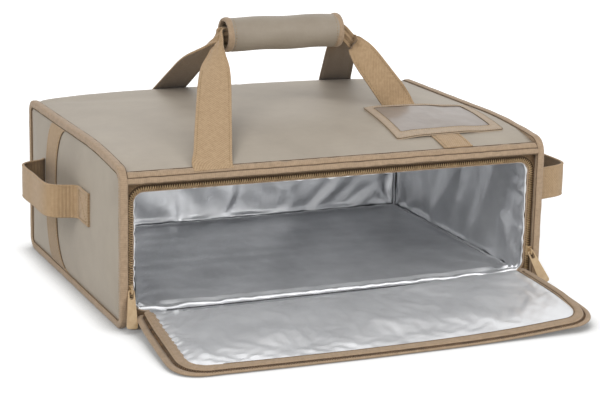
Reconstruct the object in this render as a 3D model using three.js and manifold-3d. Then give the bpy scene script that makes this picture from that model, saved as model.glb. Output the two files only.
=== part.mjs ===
// Pizza delivery bag: a padded, foil-lined carrier with a zip front, standing open.
// Millimetres. +X is right, -Y is the open front, +Z is up.
// The origin is the middle of the base, on the table that the bag stands on.

import * as THREE from "three";
import { mergeVertices } from "three/addons/utils/BufferGeometryUtils.js";
import Module from "manifold-3d";

// Bag body, outside sizes
const BAG_WIDTH = 534;
const BAG_DEPTH = 381;
const FRONT_HEIGHT = 178;
const CROWN_RISE = 16; // how far the top climbs behind the open front
const CROWN_RUN = 150; // depth over which it climbs
const FOLD_RADIUS = 16; // where the wrap turns down the back and under the base
const FRONT_TOP_RADIUS = 12;
const FRONT_FOOT_RADIUS = 9;
const GAP = 0.3; // between pieces that touch

// Wall layers, from the outside in
const FABRIC = 1.4;
const FOAM = 15;
const BASE_FOAM = 12;
const BASE_BOARD = 2.5;
const LINING = 1;

// Edge binding and the zip facing behind it
const BINDING = 8.5;
const BINDING_EDGE = 2.6; // rounding of the binding's edges
const TOP_BINDING_FACE = 6.5; // height of the front top binding's face
const FACING = 1.5;
const OPENING_RADIUS = 13;

// Zip: the chain, its slider and the pull
const ZIP_INSET = 12.2; // from the bag's outside to the middle of the chain
const CHAIN_WIDTH = 4;
const CHAIN_HEIGHT = 2.2;
const CHAIN_CORNER = 16;
const CHAIN_START = 14; // height of the chain's lower ends
const TOOTH_PITCH = 4;
const TOOTH_DEPTH = 1.2;
const ZIP_STOP_LENGTH = 4;
const SLIDER_WIDTH = 6.5;
const SLIDER_NOSE = 4.8; // width at the slider's lower end
const SLIDER_LENGTH = 11;
const SLIDER_PLATE = 2.2;
const SLIDER_HEIGHT = 46; // height of the parked slider's middle
const SLIDE_CLEARANCE = 0.35;
const BAIL_WIDTH = 1.6;
const BAIL_WIRE = 1.4;
const BAIL_REACH = 5.4; // clear depth under the bail
const BAIL_SPAN = 5; // clear length under the bail
const PULL_LENGTH = 42;
const PULL_HEAD = 7.4;
const PULL_FOOT = 13;
const PULL_THICKNESS = 1.8;
const PULL_CORNER = 3;
const PULL_BAR = 1.3; // half the bar that sits under the bail
const EYE_WIDTH = 5;
const EYE_LENGTH = 8;
const PULL_LEAN = 20; // degrees, forward of plumb
const LEFT_PULL_TILT = 5; // degrees, outward
const RIGHT_PULL_TILT = 22;

// Front flap, lying open
const FLAP_THICKNESS = 13;
const FLAP_SIDE_INSET = 16.5; // from the bag's side to the flap's edge
const FLAP_FRONT_RADIUS = 32;
const FLAP_HINGE_RADIUS = 18;
const FLAP_BOW = 5; // how far the front edge bows out
const FLAP_BORDER = 14; // width of the sewn border
const RIM_BINDING = 6; // height of the lower rim
const FLAP_CHAIN = 1.7;
const FLAP_CHAIN_INSET = 2.4;
const RIM_EDGE = 1.8;
const HINGE_EDGE = 1.2; // flap's rear edge, in front of the hinge line
const FLAP_CLEARANCE = 0.6; // round the shut flap
const HINGE_TAPE = 1.2;

// Carry straps and their grip
const STRAP_WIDTH = 48;
const STRAP = 2.4;
const STRAP_NECK = 20; // width where it is gathered into the grip
const FRONT_STRAP_LEFT_X = -155;
const FRONT_STRAP_RIGHT_X = 151;
const REAR_STRAP_LEFT_X = -76;
const REAR_STRAP_RIGHT_X = 156;
const FRONT_SEWN = 24; // sewn length behind the front binding, left leg
const REAR_SEWN = 90; // sewn length down the back
const STRAP_LIFT_RUN = 8; // over which a leg leaves the top
const MOUTH_OUT = 14; // beyond the grip's end, where a strap turns towards its feet
const MOUTH_REACH = 25; // from there to where it starts to open out
const LEG_GATHER = 0.52; // share of a leg that is drawn in
const GRIP_LIFT = 103; // middle of the grip above the top
const GRIP_LENGTH = 150;
const GRIP_RADIUS = 20;
const GRIP_WALL = 3.5;
const CLOSURE_TAPE = 1;
const TAPE_REACH = 38; // degrees of the wrap that each closure tape covers
const STRAP_PITCH = 3.6; // half the spacing of the two straps inside the grip

// Side handles and the webbing strip behind each
const LOOP_WIDTH = 40;
const LOOP_HEIGHT = 114; // middle of the handle above the table
const LOOP_TAB = 42;
const RIGHT_FRONT_TAB = 4; // the right loop's front end, by the bound edge
const LOOP_SPAN = 150;
const LOOP_BULGE = 44;
const LOOP_TURN = 16;
const LOOP_RISE = [[0.3, 0.2], [0.75, 0.72], [1.4, 0.96]]; // shares of the turn and of the bulge
const LOOP_WEB = 3;
const LEFT_LOOP_START = 108; // behind the front edge
const RIGHT_LOOP_START = 9;
const STRIP_WIDTH = 46;
const STRIP = 1.6;
const STRIP_FLARE = 34;
const STRIP_FLARE_RISE = 48;

// Label pocket on the top
const POCKET_WIDTH = 146;
const POCKET_DEPTH = 118;
const POCKET_SIDE_INSET = 26; // from the bag's right side
const POCKET_START = 46; // behind the front edge
const POCKET_BORDER = 14;
const POCKET = 1.5;
const WINDOW_FILM = 0.7;

// Smoothness of the solids
const CROWN_STEPS = 6;
const ARC_STEPS = 5;
const ROUND_STEPS = 14;
const RIBBON_STEPS = 5;
const FOLD_STOPS = [0, 18, 36, 54]; // degrees round the rear fold

// Places that follow from those sizes
const HALF_WIDTH = BAG_WIDTH / 2;
const FRONT_Y = -BAG_DEPTH / 2;
const BACK_Y = BAG_DEPTH / 2;
const BACK_HEIGHT = FRONT_HEIGHT + CROWN_RISE;
const SKIN = FABRIC + GAP;
const FOAM_FACE = SKIN + FOAM;
const WALL = FOAM_FACE + GAP + LINING;
const BASE_FOAM_TOP = SKIN + BASE_FOAM;
const BOARD_TOP = BASE_FOAM_TOP + GAP + BASE_BOARD;
const FLOOR = BOARD_TOP + GAP + LINING;
const INSIDE_BINDING = BINDING + GAP;
const FACING_BACK = INSIDE_BINDING + FACING;
const WALL_START = FACING_BACK + GAP;
const CHAIN_FRONT = INSIDE_BINDING - GAP - CHAIN_HEIGHT;
const SHUT_FACE = CHAIN_FRONT - FLAP_CLEARANCE; // depth of the shut flap's foil face
const HINGE_HEIGHT = FLAP_THICKNESS - SHUT_FACE;
const FLAP_HALF = HALF_WIDTH - FLAP_SIDE_INSET;
const FLAP_REACH = FRONT_HEIGHT - TOP_BINDING_FACE - FLAP_CLEARANCE - HINGE_HEIGHT;
const GRIP_Z = BACK_HEIGHT + GRIP_LIFT;
const GRIP_BORE = GRIP_RADIUS - GRIP_WALL;
const GRIP_HALF = GRIP_LENGTH / 2;
const SLIDER_FRONT = CHAIN_FRONT - SLIDE_CLEARANCE - SLIDER_PLATE;
const BAIL_FRONT = SLIDER_FRONT - BAIL_REACH - BAIL_WIRE;
const BAR_TILT = (BAIL_WIDTH / 2) * Math.tan(THREE.MathUtils.degToRad(RIGHT_PULL_TILT));
const PIVOT_ROOM = Math.hypot(PULL_BAR + BAR_TILT, PULL_THICKNESS / 2) + GAP; // round the bar, under the bail
const PIVOT_DEPTH = SLIDER_FRONT - BAIL_REACH + PIVOT_ROOM;
const PIVOT_HEIGHT = SLIDER_HEIGHT - BAIL_SPAN / 2 + PIVOT_ROOM;

const front = (depth) => FRONT_Y + depth;
const radians = THREE.MathUtils.degToRad;

const wasm = await Module();
wasm.setup();

const bag = new THREE.Group();
bag.name = "pizza_delivery_bag";

// Finishes
const finish = (color, roughness, metalness = 0) => () =>
  new THREE.MeshStandardMaterial({ color, roughness, metalness });
const coatedFabric = finish("#b0a698", 0.62);
const tanBinding = finish("#b29873", 0.7);
const tanWebbing = finish("#b8986c", 0.85);
const foil = finish("#c9cacc", 0.28, 0.9);
const foam = finish("#dcdcd6", 0.95);
const board = finish("#4a4a48", 0.8);
const zipTape = finish("#a98f6c", 0.85);
const zipChain = finish("#b39a74", 0.5);
const enamelledMetal = finish("#b08f66", 0.4, 0.6);
const clearFilm = finish("#d9d9da", 0.1);
const hookAndLoop = finish("#8d7c62", 0.95);

// Adds one named piece.
function piece(name, geometry, material, parent = bag) {
  const mesh = new THREE.Mesh(geometry, material());
  mesh.name = name;
  parent.add(mesh);
  return mesh;
}

// Straight extrusion of an outline, with its edges rounded by `edge`.
function extrude(outline, length, edge = 0) {
  const geometry = new THREE.ExtrudeGeometry(outline, {
    depth: length - 2 * edge,
    bevelEnabled: edge > 0,
    bevelThickness: edge,
    bevelSize: edge,
    bevelOffset: -edge,
    bevelSegments: 2,
    curveSegments: ARC_STEPS,
  });
  return geometry.translate(0, 0, edge);
}

// Extrudes a side-view outline (y, z) from x0 to x1.
function alongX(outline, x0, x1, edge) {
  const turn = new THREE.Matrix4().makeBasis(
    new THREE.Vector3(0, 1, 0),
    new THREE.Vector3(0, 0, 1),
    new THREE.Vector3(1, 0, 0),
  );
  return extrude(outline, x1 - x0, edge).applyMatrix4(turn).translate(x0, 0, 0);
}

// Extrudes a front-view outline (x, z) from y0 to y1.
const alongY = (outline, y0, y1) => extrude(outline, y1 - y0).rotateX(Math.PI / 2).translate(0, y1, 0);

// Extrudes a plan outline (x, y) from z0 to z1.
const alongZ = (outline, z0, z1, edge) => extrude(outline, z1 - z0, edge).translate(0, 0, z0);

const point = (a, b) => new THREE.Vector2(a, b);
const outlineOf = (...runs) => new THREE.Shape(runs.flat());
const rectangle = (a0, b0, a1, b1) => outlineOf([point(a0, b0), point(a1, b0), point(a1, b1), point(a0, b1)]);

// Points of an arc, in degrees.
function arc(a, b, radius, from, to, steps = ARC_STEPS) {
  const points = [];
  for (let i = 0; i <= steps; i += 1) {
    const angle = radians(from + ((to - from) * i) / steps);
    points.push(point(a + radius * Math.cos(angle), b + radius * Math.sin(angle)));
  }
  return points;
}

// Booleans on closed geometries.
function solid(geometry) {
  const bare = geometry.clone();
  bare.deleteAttribute("normal");
  bare.deleteAttribute("uv");
  const merged = mergeVertices(bare, 1e-4);
  return new wasm.Manifold(
    new wasm.Mesh({
      numProp: 3,
      vertProperties: merged.attributes.position.array,
      triVerts: new Uint32Array(merged.index.array),
    }),
  );
}

function geometryOf(made) {
  const mesh = made.getMesh();
  return new THREE.BufferGeometry()
    .setAttribute("position", new THREE.BufferAttribute(mesh.vertProperties, 3))
    .setIndex(new THREE.BufferAttribute(mesh.triVerts, 1));
}

// Height of the bag's top, which climbs from the open front and then runs level.
function topAt(depth) {
  const left = 1 - Math.min(1, depth / CROWN_RUN);
  return FRONT_HEIGHT + CROWN_RISE * (1 - left * left);
}

// Points along the top from one depth to another, `drop` below the outside.
function crown(from, to, drop) {
  const stops = [from];
  for (let i = 1; i < CROWN_STEPS; i += 1) {
    const depth = (CROWN_RUN * i) / CROWN_STEPS;
    if (depth > from && depth < to) stops.push(depth);
  }
  if (CROWN_RUN > from && CROWN_RUN < to) stops.push(CROWN_RUN);
  stops.push(to);
  return stops.map((depth) => point(front(depth), topAt(depth) - drop));
}

// A sheet that follows the top between two depths.
const topSheet = (from, to, drop, thickness) =>
  outlineOf(crown(from, to, drop), crown(from, to, drop + thickness).reverse());

// Side view of the whole bag, drawn in by `inset`.
function sideOutline(inset) {
  const foot = Math.max(FRONT_FOOT_RADIUS - inset, GAP);
  const fold = Math.max(FOLD_RADIUS - inset, GAP);
  const brow = Math.max(FRONT_TOP_RADIUS - inset, GAP);
  const y0 = front(inset);
  const y1 = BACK_Y - inset;
  const z1 = BACK_HEIGHT - inset;
  const shoulder = inset + brow;
  return outlineOf(
    arc(y0 + foot, inset + foot, foot, 180, 270),
    arc(y1 - fold, inset + fold, fold, 270, 360),
    arc(y1 - fold, z1 - fold, fold, 0, 90),
    crown(shoulder, BAG_DEPTH - inset - fold, inset).reverse(),
    arc(front(shoulder), topAt(shoulder) - shoulder, brow, 90, 180).slice(1),
  );
}

// Outer shell: one wrap over the top and down the back, a base panel and two side panels in their bindings.
function wrapLine(inset) {
  const fold = FOLD_RADIUS - inset;
  const y = BACK_Y - FOLD_RADIUS;
  return [
    ...crown(INSIDE_BINDING, BAG_DEPTH - FOLD_RADIUS, inset),
    ...arc(y, BACK_HEIGHT - FOLD_RADIUS, fold, 90, 0).slice(1),
    ...arc(y, FOLD_RADIUS, fold, 0, -90),
  ];
}

const wrapHalf = HALF_WIDTH - INSIDE_BINDING;
const wrapOutline = outlineOf(wrapLine(0), wrapLine(FABRIC).reverse());
piece("top_back_wrap", alongX(wrapOutline, -wrapHalf, wrapHalf), coatedFabric);
const baseOutline = rectangle(-wrapHalf, front(GAP), wrapHalf, BACK_Y - FOLD_RADIUS - GAP);
piece("base_panel", alongZ(baseOutline, 0, FABRIC), coatedFabric);

const bindingOutline = sideOutline(0);
bindingOutline.holes.push(sideOutline(BINDING));
const sidePanel = sideOutline(INSIDE_BINDING);
const sides = { left: -1, right: 1 };

// Extrudes a side-view outline inward from a depth below the left or right side's outside.
function onSide(side, outline, outer, thickness, edge) {
  const a = sides[side] * (HALF_WIDTH - outer);
  const b = sides[side] * (HALF_WIDTH - outer - thickness);
  return alongX(outline, Math.min(a, b), Math.max(a, b), edge);
}

for (const side of Object.keys(sides)) {
  piece(`${side}_edge_binding`, onSide(side, bindingOutline, 0, BINDING, BINDING_EDGE), tanBinding);
  piece(`${side}_side_panel`, onSide(side, sidePanel, 0, FABRIC), coatedFabric);
}

const browCentre = topAt(FRONT_TOP_RADIUS) - FRONT_TOP_RADIUS;
const browLow = FRONT_HEIGHT - TOP_BINDING_FACE;
const browFrom = THREE.MathUtils.radToDeg(Math.acos((BINDING - FRONT_TOP_RADIUS) / FRONT_TOP_RADIUS));
const browTo = 180 - THREE.MathUtils.radToDeg(Math.asin((browLow - browCentre) / FRONT_TOP_RADIUS));
const browOutline = outlineOf(
  [point(front(BINDING), browLow)],
  arc(front(FRONT_TOP_RADIUS), browCentre, FRONT_TOP_RADIUS, browFrom, browTo),
);
piece("front_top_binding", alongX(browOutline, -wrapHalf, wrapHalf), tanBinding);

// Insulation: five foam boards and the board that stiffens the base.
const foamHalf = HALF_WIDTH - FOAM_FACE - GAP;
const foamFold = FOLD_RADIUS - SKIN - GAP;
const foamBack = BACK_Y - SKIN - GAP;
const topFoamUnder = BACK_HEIGHT - FOAM_FACE;
const topFoam = outlineOf(
  crown(WALL_START, BAG_DEPTH - FOLD_RADIUS, SKIN),
  arc(BACK_Y - FOLD_RADIUS, BACK_HEIGHT - FOLD_RADIUS, foamFold, 90, 0).slice(1),
  [point(foamBack, topFoamUnder)],
  crown(WALL_START, BAG_DEPTH - FOLD_RADIUS, FOAM_FACE).reverse(),
);
piece("top_foam", alongX(topFoam, -foamHalf, foamHalf), foam);
const baseFoam = outlineOf(
  [point(front(WALL_START), BASE_FOAM_TOP), point(front(WALL_START), SKIN)],
  arc(BACK_Y - FOLD_RADIUS, FOLD_RADIUS, foamFold, 270, 340),
  [point(foamBack, BASE_FOAM_TOP)],
);
piece("base_foam", alongX(baseFoam, -foamHalf, foamHalf), foam);
const backFoam = rectangle(BACK_Y - FOAM_FACE, BASE_FOAM_TOP + GAP, foamBack, topFoamUnder - GAP);
piece("back_foam", alongX(backFoam, -foamHalf, foamHalf), foam);

// Side view of the space inside the binding, from the zip facing back.
const sideFoam = outlineOf(
  crown(WALL_START, BAG_DEPTH - FOLD_RADIUS, INSIDE_BINDING),
  arc(BACK_Y - FOLD_RADIUS, BACK_HEIGHT - FOLD_RADIUS, FOLD_RADIUS - INSIDE_BINDING, 90, 0).slice(1),
  arc(BACK_Y - FOLD_RADIUS, FOLD_RADIUS, FOLD_RADIUS - INSIDE_BINDING, 0, -90),
  [point(front(WALL_START), INSIDE_BINDING)],
);
for (const side of Object.keys(sides)) {
  piece(`${side}_foam`, onSide(side, sideFoam, SKIN, FOAM), foam);
}

const insideBack = BACK_Y - FOAM_FACE - GAP;
const boardOutline = rectangle(-foamHalf, front(WALL_START), foamHalf, insideBack);
piece("base_board", alongZ(boardOutline, BASE_FOAM_TOP + GAP, BOARD_TOP), board);

// Foil lining on the five inner faces, and the rolled sill at the front of the floor.
const liningHalf = HALF_WIDTH - WALL - GAP;
const liningBack = insideBack - LINING - GAP;
const floorOutline = rectangle(-foamHalf, front(WALL_START), foamHalf, insideBack);
piece("floor_lining", alongZ(floorOutline, BOARD_TOP + GAP, FLOOR), foil);
const roofSheet = topSheet(WALL_START, BAG_DEPTH - FOAM_FACE - GAP, FOAM_FACE + GAP, LINING);
piece("top_lining", alongX(roofSheet, -foamHalf, foamHalf), foil);
const backSheet = rectangle(insideBack - LINING, FLOOR + GAP, insideBack, BACK_HEIGHT - WALL - GAP);
piece("back_lining", alongX(backSheet, -foamHalf, foamHalf), foil);
const sideSheet = outlineOf(
  crown(WALL_START, BAG_DEPTH - WALL - 2 * GAP, WALL + GAP),
  [point(liningBack, FLOOR + GAP), point(front(WALL_START), FLOOR + GAP)],
);
for (const side of Object.keys(sides)) {
  piece(`${side}_lining`, onSide(side, sideSheet, FOAM_FACE + GAP, LINING), foil);
}

const sillTop = FLOOR - LINING / 2;
const sillFoot = SKIN + HINGE_TAPE + GAP;
const sillOutline = outlineOf(
  [point(front(FACING_BACK), sillFoot), point(front(FACING_BACK), sillTop)],
  arc(front(INSIDE_BINDING + FACING / 2), sillTop - FACING / 2, FACING / 2, 90, 180),
  [point(front(INSIDE_BINDING), sillFoot)],
);
piece("sill_lining", alongX(sillOutline, -liningHalf, liningHalf), foil);

// Zip facing: the fabric frame round the opening, which carries the chain.
const openHalf = HALF_WIDTH - WALL;
const openTop = FRONT_HEIGHT - WALL;
const facingTop = topAt(INSIDE_BINDING) - SKIN;
const facingOutline = outlineOf(
  [point(-wrapHalf, SKIN), point(-openHalf, SKIN)],
  arc(-openHalf + OPENING_RADIUS, openTop - OPENING_RADIUS, OPENING_RADIUS, 180, 90),
  arc(openHalf - OPENING_RADIUS, openTop - OPENING_RADIUS, OPENING_RADIUS, 90, 0),
  [point(openHalf, SKIN), point(wrapHalf, SKIN)],
  [point(wrapHalf, facingTop), point(-wrapHalf, facingTop)],
);
piece("zip_facing", alongY(facingOutline, front(INSIDE_BINDING), front(FACING_BACK)), zipTape);

// A chain's outline along a path: plain on its left, with a row of teeth on its right.
function toothedStrip(path, width, toothDepth) {
  const teeth = Math.round(path.getLength() / TOOTH_PITCH);
  const plain = [];
  const toothed = [];
  for (let i = 0; i <= 2 * teeth; i += 1) {
    const at = path.getPointAt(i / (2 * teeth));
    const along = path.getTangentAt(i / (2 * teeth));
    const across = point(-along.y, along.x);
    const reach = i % 2 ? width / 2 : width / 2 - toothDepth;
    if (i % 2 === 0) plain.push(at.clone().addScaledVector(across, width / 2));
    toothed.push(at.clone().addScaledVector(across, -reach));
  }
  return outlineOf(plain, toothed.reverse());
}

const chainX = HALF_WIDTH - ZIP_INSET;
const chainTop = FRONT_HEIGHT - ZIP_INSET;
const bodyPath = new THREE.Path();
bodyPath.moveTo(-chainX, CHAIN_START);
bodyPath.lineTo(-chainX, chainTop - CHAIN_CORNER);
bodyPath.absarc(-chainX + CHAIN_CORNER, chainTop - CHAIN_CORNER, CHAIN_CORNER, Math.PI, Math.PI / 2, true);
bodyPath.lineTo(chainX - CHAIN_CORNER, chainTop);
bodyPath.absarc(chainX - CHAIN_CORNER, chainTop - CHAIN_CORNER, CHAIN_CORNER, Math.PI / 2, 0, true);
bodyPath.lineTo(chainX, CHAIN_START);
const bodyChain = toothedStrip(bodyPath, CHAIN_WIDTH, TOOTH_DEPTH);
const chainSpan = [front(CHAIN_FRONT), front(INSIDE_BINDING - GAP)];
piece("body_zip_chain", alongY(bodyChain, ...chainSpan), zipChain);
for (const side of Object.keys(sides)) {
  const x = sides[side] * chainX;
  const low = CHAIN_START - GAP - ZIP_STOP_LENGTH;
  const stop = rectangle(x - CHAIN_WIDTH / 2, low, x + CHAIN_WIDTH / 2, CHAIN_START - GAP);
  piece(`${side}_zip_stop`, alongY(stop, ...chainSpan), enamelledMetal);
}

// Plan outline of the flap, drawn in by `inset` on its three free edges.
function flapEdge(inset) {
  const half = FLAP_HALF - inset;
  const back = front(-HINGE_EDGE);
  const corner = front(-FLAP_REACH + FLAP_BOW) + inset;
  const frontRadius = FLAP_FRONT_RADIUS - inset;
  const hingeRadius = FLAP_HINGE_RADIUS - inset;
  const hingeY = back - FLAP_HINGE_RADIUS;
  const path = new THREE.Path();
  path.moveTo(-half + hingeRadius, hingeY + hingeRadius);
  path.absarc(-half + hingeRadius, hingeY, hingeRadius, Math.PI / 2, Math.PI, false);
  path.lineTo(-half, corner + frontRadius);
  path.absarc(-half + frontRadius, corner + frontRadius, frontRadius, Math.PI, 1.5 * Math.PI, false);
  path.quadraticCurveTo(0, corner - 2 * FLAP_BOW, half - frontRadius, corner);
  path.absarc(half - frontRadius, corner + frontRadius, frontRadius, 1.5 * Math.PI, 2 * Math.PI, false);
  path.lineTo(half, hingeY);
  path.absarc(half - hingeRadius, hingeY, hingeRadius, 0, Math.PI / 2, false);
  return path;
}

// Points of a flap edge, with the curved stretches in a few steps.
const edgePoints = (path) => path.getPoints(ARC_STEPS);

// The flap inside its border, which runs back to the hinge edge.
function flapInside() {
  const edge = edgePoints(flapEdge(FLAP_BORDER + GAP));
  const first = edge[0];
  const last = edge[edge.length - 1];
  const back = front(-HINGE_EDGE);
  const rightEnd = [point(last.x - GAP, last.y), point(last.x - GAP, back)];
  const leftEnd = [point(first.x + GAP, back), point(first.x + GAP, first.y)];
  return outlineOf(edge, rightEnd, leftEnd);
}

// A strip of the flap's border between two insets, open at the hinge.
const flapBorder = (outer, inner) =>
  outlineOf(edgePoints(flapEdge(outer)), edgePoints(flapEdge(inner)).reverse());

const rimTop = RIM_BINDING;
const flapChainTop = rimTop + GAP + FLAP_CHAIN;
piece("flap_rim_binding", alongZ(flapBorder(0, FLAP_BORDER), 0, rimTop, RIM_EDGE), tanBinding);
const flapTape = alongZ(flapBorder(0, FLAP_BORDER), flapChainTop + GAP, FLAP_THICKNESS, RIM_EDGE);
piece("flap_zip_tape", flapTape, zipTape);
const flapChain = toothedStrip(flapEdge(FLAP_CHAIN_INSET), CHAIN_WIDTH, TOOTH_DEPTH);
piece("flap_zip_chain", alongZ(flapChain, rimTop + GAP, flapChainTop), zipChain);
piece("flap_outer_panel", alongZ(flapInside(), 0, FABRIC), coatedFabric);
const flapFoamTop = FLAP_THICKNESS - LINING - GAP;
piece("flap_foam", alongZ(flapInside(), SKIN, flapFoamTop), foam);
piece("flap_lining", alongZ(flapInside(), flapFoamTop + GAP, FLAP_THICKNESS), foil);

// Hinge tape: the sewn fold between the base panel and the flap.
const tapeHalf = FLAP_HALF - FLAP_HINGE_RADIUS;
const tapeOutline = rectangle(-tapeHalf, front(GAP - HINGE_EDGE), tapeHalf, front(INSIDE_BINDING - GAP));
piece("hinge_tape", alongZ(tapeOutline, SKIN, SKIN + HINGE_TAPE), tanBinding);

// A flat ribbon through stations, each with its place, the direction across it and its width there.
function ribbon(stations, thickness) {
  const curve = new THREE.CatmullRomCurve3(stations.map((s) => s.at), false, "centripetal");
  const spans = stations.length - 1;
  const rings = spans * RIBBON_STEPS;
  const places = [];
  for (let i = 0; i <= rings; i += 1) {
    const here = Math.min(Math.floor(i / RIBBON_STEPS), spans - 1);
    const share = i / RIBBON_STEPS - here;
    const [a, b] = [stations[here], stations[here + 1]];
    const at = curve.getPoint(i / rings);
    const along = curve.getTangent(i / rings);
    const across = a.across.clone().lerp(b.across, share);
    across.addScaledVector(along, -across.dot(along)).normalize();
    const width = THREE.MathUtils.lerp(a.width, b.width, share) / 2;
    const normal = along.clone().cross(across).multiplyScalar(thickness / 2);
    for (const [u, v] of [[-1, -1], [1, -1], [1, 1], [-1, 1]]) {
      const corner = at.clone().addScaledVector(across, u * width).addScaledVector(normal, v);
      places.push(corner.x, corner.y, corner.z);
    }
  }
  const faces = [0, 3, 2, 0, 2, 1];
  for (let i = 0; i < rings; i += 1) {
    for (let k = 0; k < 4; k += 1) {
      const [a, b] = [4 * i + k, 4 * i + ((k + 1) % 4)];
      faces.push(a, b, b + 4, a, b + 4, a + 4);
    }
  }
  const end = 4 * rings;
  faces.push(end, end + 1, end + 2, end, end + 2, end + 3);
  return new THREE.BufferGeometry()
    .setAttribute("position", new THREE.Float32BufferAttribute(places, 3))
    .setIndex(faces);
}

const vector = (x, y, z) => new THREE.Vector3(x, y, z);
const station = (at, across, width = STRAP_WIDTH) => ({ at, across, width });
const strapLift = 2 * GAP + STRAP / 2;

// A strap's place on the top panel.
const onTop = (x, depth) => vector(x, front(depth), topAt(depth) + strapLift);

// A strap's place on the rear fold, at an angle from level.
function onFold(x, degrees) {
  const reach = FOLD_RADIUS + strapLift;
  const angle = radians(degrees);
  const y = BACK_Y - FOLD_RADIUS + reach * Math.cos(angle);
  return vector(x, y, BACK_HEIGHT - FOLD_RADIUS + reach * Math.sin(angle));
}

// Stations along the top panel at `x`, from the front binding back to a depth.
function alongTop(x, to, across) {
  const sewn = crown(strapStart, to - STRAP, 0).map((p) => vector(x, p.x, p.y + strapLift));
  const leaving = onTop(x, to).add(vector(0, 0, GAP));
  return [...sewn, leaving].map((at) => station(at, across));
}

// The gathered stretch that runs through the grip, `y` from its middle.
function throughGrip(y) {
  const mouth = GRIP_HALF + STRAP;
  const inside = GRIP_HALF - STRAP;
  return [-mouth, -inside, 0, inside, mouth].map((x) => station(vector(x, y, GRIP_Z), down, STRAP_NECK));
}

const right = vector(1, 0, 0);
const left = vector(-1, 0, 0);
const down = vector(0, 0, -1);
const strapStart = INSIDE_BINDING + STRAP;
const pocketEnd = POCKET_START + POCKET_DEPTH;
const liftEnd = pocketEnd + STRAP_LIFT_RUN;
const strapRise = vector(0, 0, STRAP_LIFT_RUN);
const frontLeftFoot = onTop(FRONT_STRAP_LEFT_X, FRONT_SEWN + STRAP_LIFT_RUN).add(strapRise);
const frontRightFoot = onTop(FRONT_STRAP_RIGHT_X, liftEnd + STRAP_LIFT_RUN).add(strapRise);

// Stations of a free leg, from the grip's left (-1) or right (1) end down to where it leaves the bag.
function leg(side, foot, across) {
  const corner = vector(side * (GRIP_HALF + MOUTH_OUT), 0, GRIP_Z);
  const run = foot.clone().sub(corner);
  const turn = corner.clone().addScaledVector(run.clone().normalize(), MOUTH_REACH);
  const open = corner.clone().addScaledVector(run, LEG_GATHER);
  return [station(turn, across.clone().add(down), STRAP_NECK), station(open, across), station(foot, across)];
}

const frontStrap = [
  ...alongTop(FRONT_STRAP_LEFT_X, FRONT_SEWN, right),
  ...leg(-1, frontLeftFoot, right).reverse(),
  ...throughGrip(-STRAP_PITCH),
  ...leg(1, frontRightFoot, left),
  ...alongTop(FRONT_STRAP_RIGHT_X, liftEnd, left).reverse(),
];
piece("front_carry_strap", ribbon(frontStrap, STRAP), tanWebbing);

const onBack = (x, drop) => vector(x, BACK_Y + strapLift, BACK_HEIGHT - FOLD_RADIUS - drop);

// Stations of a rear leg from its sewn end up the back and over the fold, to where it comes free.
function upBack(x, across) {
  const fold = FOLD_STOPS.map((degrees) => onFold(x, degrees));
  return [onBack(x, REAR_SEWN), ...fold].map((at) => station(at, across));
}

const freeAt = FOLD_STOPS[FOLD_STOPS.length - 1] + FOLD_STOPS[1];
const rearStrap = [
  ...upBack(REAR_STRAP_LEFT_X, right),
  ...leg(-1, onFold(REAR_STRAP_LEFT_X, freeAt).add(strapRise), right).reverse(),
  ...throughGrip(STRAP_PITCH),
  ...leg(1, onFold(REAR_STRAP_RIGHT_X, freeAt).add(strapRise), left),
  ...upBack(REAR_STRAP_RIGHT_X, left).reverse(),
];
piece("rear_carry_strap", ribbon(rearStrap, STRAP), tanWebbing);

// Grip: a padded wrap in two halves that part at the bottom, closed by hook-and-loop tape inside.
function wrapSector(inner, outer, from, to) {
  return outlineOf(
    arc(0, GRIP_Z, outer, from, to, ROUND_STEPS),
    arc(0, GRIP_Z, inner, to, from, ROUND_STEPS),
  );
}

const seamAngle = THREE.MathUtils.radToDeg(GAP / GRIP_BORE);
const rearHalf = wrapSector(GRIP_BORE, GRIP_RADIUS, -90 + seamAngle, 90 - seamAngle);
piece("grip_wrap", alongX(rearHalf, -GRIP_HALF, GRIP_HALF), coatedFabric);
const frontHalf = wrapSector(GRIP_BORE, GRIP_RADIUS, 90 + seamAngle, 270 - seamAngle);
piece("grip_wrap_flap", alongX(frontHalf, -GRIP_HALF, GRIP_HALF), coatedFabric);

const hookOuter = GRIP_BORE - GAP;
const loopOuter = hookOuter - CLOSURE_TAPE - GAP;
const tapeEnd = GRIP_HALF - GRIP_WALL;
const hookSector = wrapSector(hookOuter - CLOSURE_TAPE, hookOuter, 270 - TAPE_REACH, 270 - seamAngle);
piece("grip_hook_tape", alongX(hookSector, -tapeEnd, tapeEnd), hookAndLoop);
const loopSector = outlineOf(
  arc(0, GRIP_Z, loopOuter, 270 - TAPE_REACH, 270, ROUND_STEPS),
  arc(0, GRIP_Z, hookOuter, 270 + 3 * seamAngle, 270 + TAPE_REACH, ROUND_STEPS),
  arc(0, GRIP_Z, loopOuter - CLOSURE_TAPE, 270 + TAPE_REACH, 270 - TAPE_REACH, ROUND_STEPS),
);
piece("grip_loop_tape", alongX(loopSector, -tapeEnd, tapeEnd), hookAndLoop);

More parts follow.
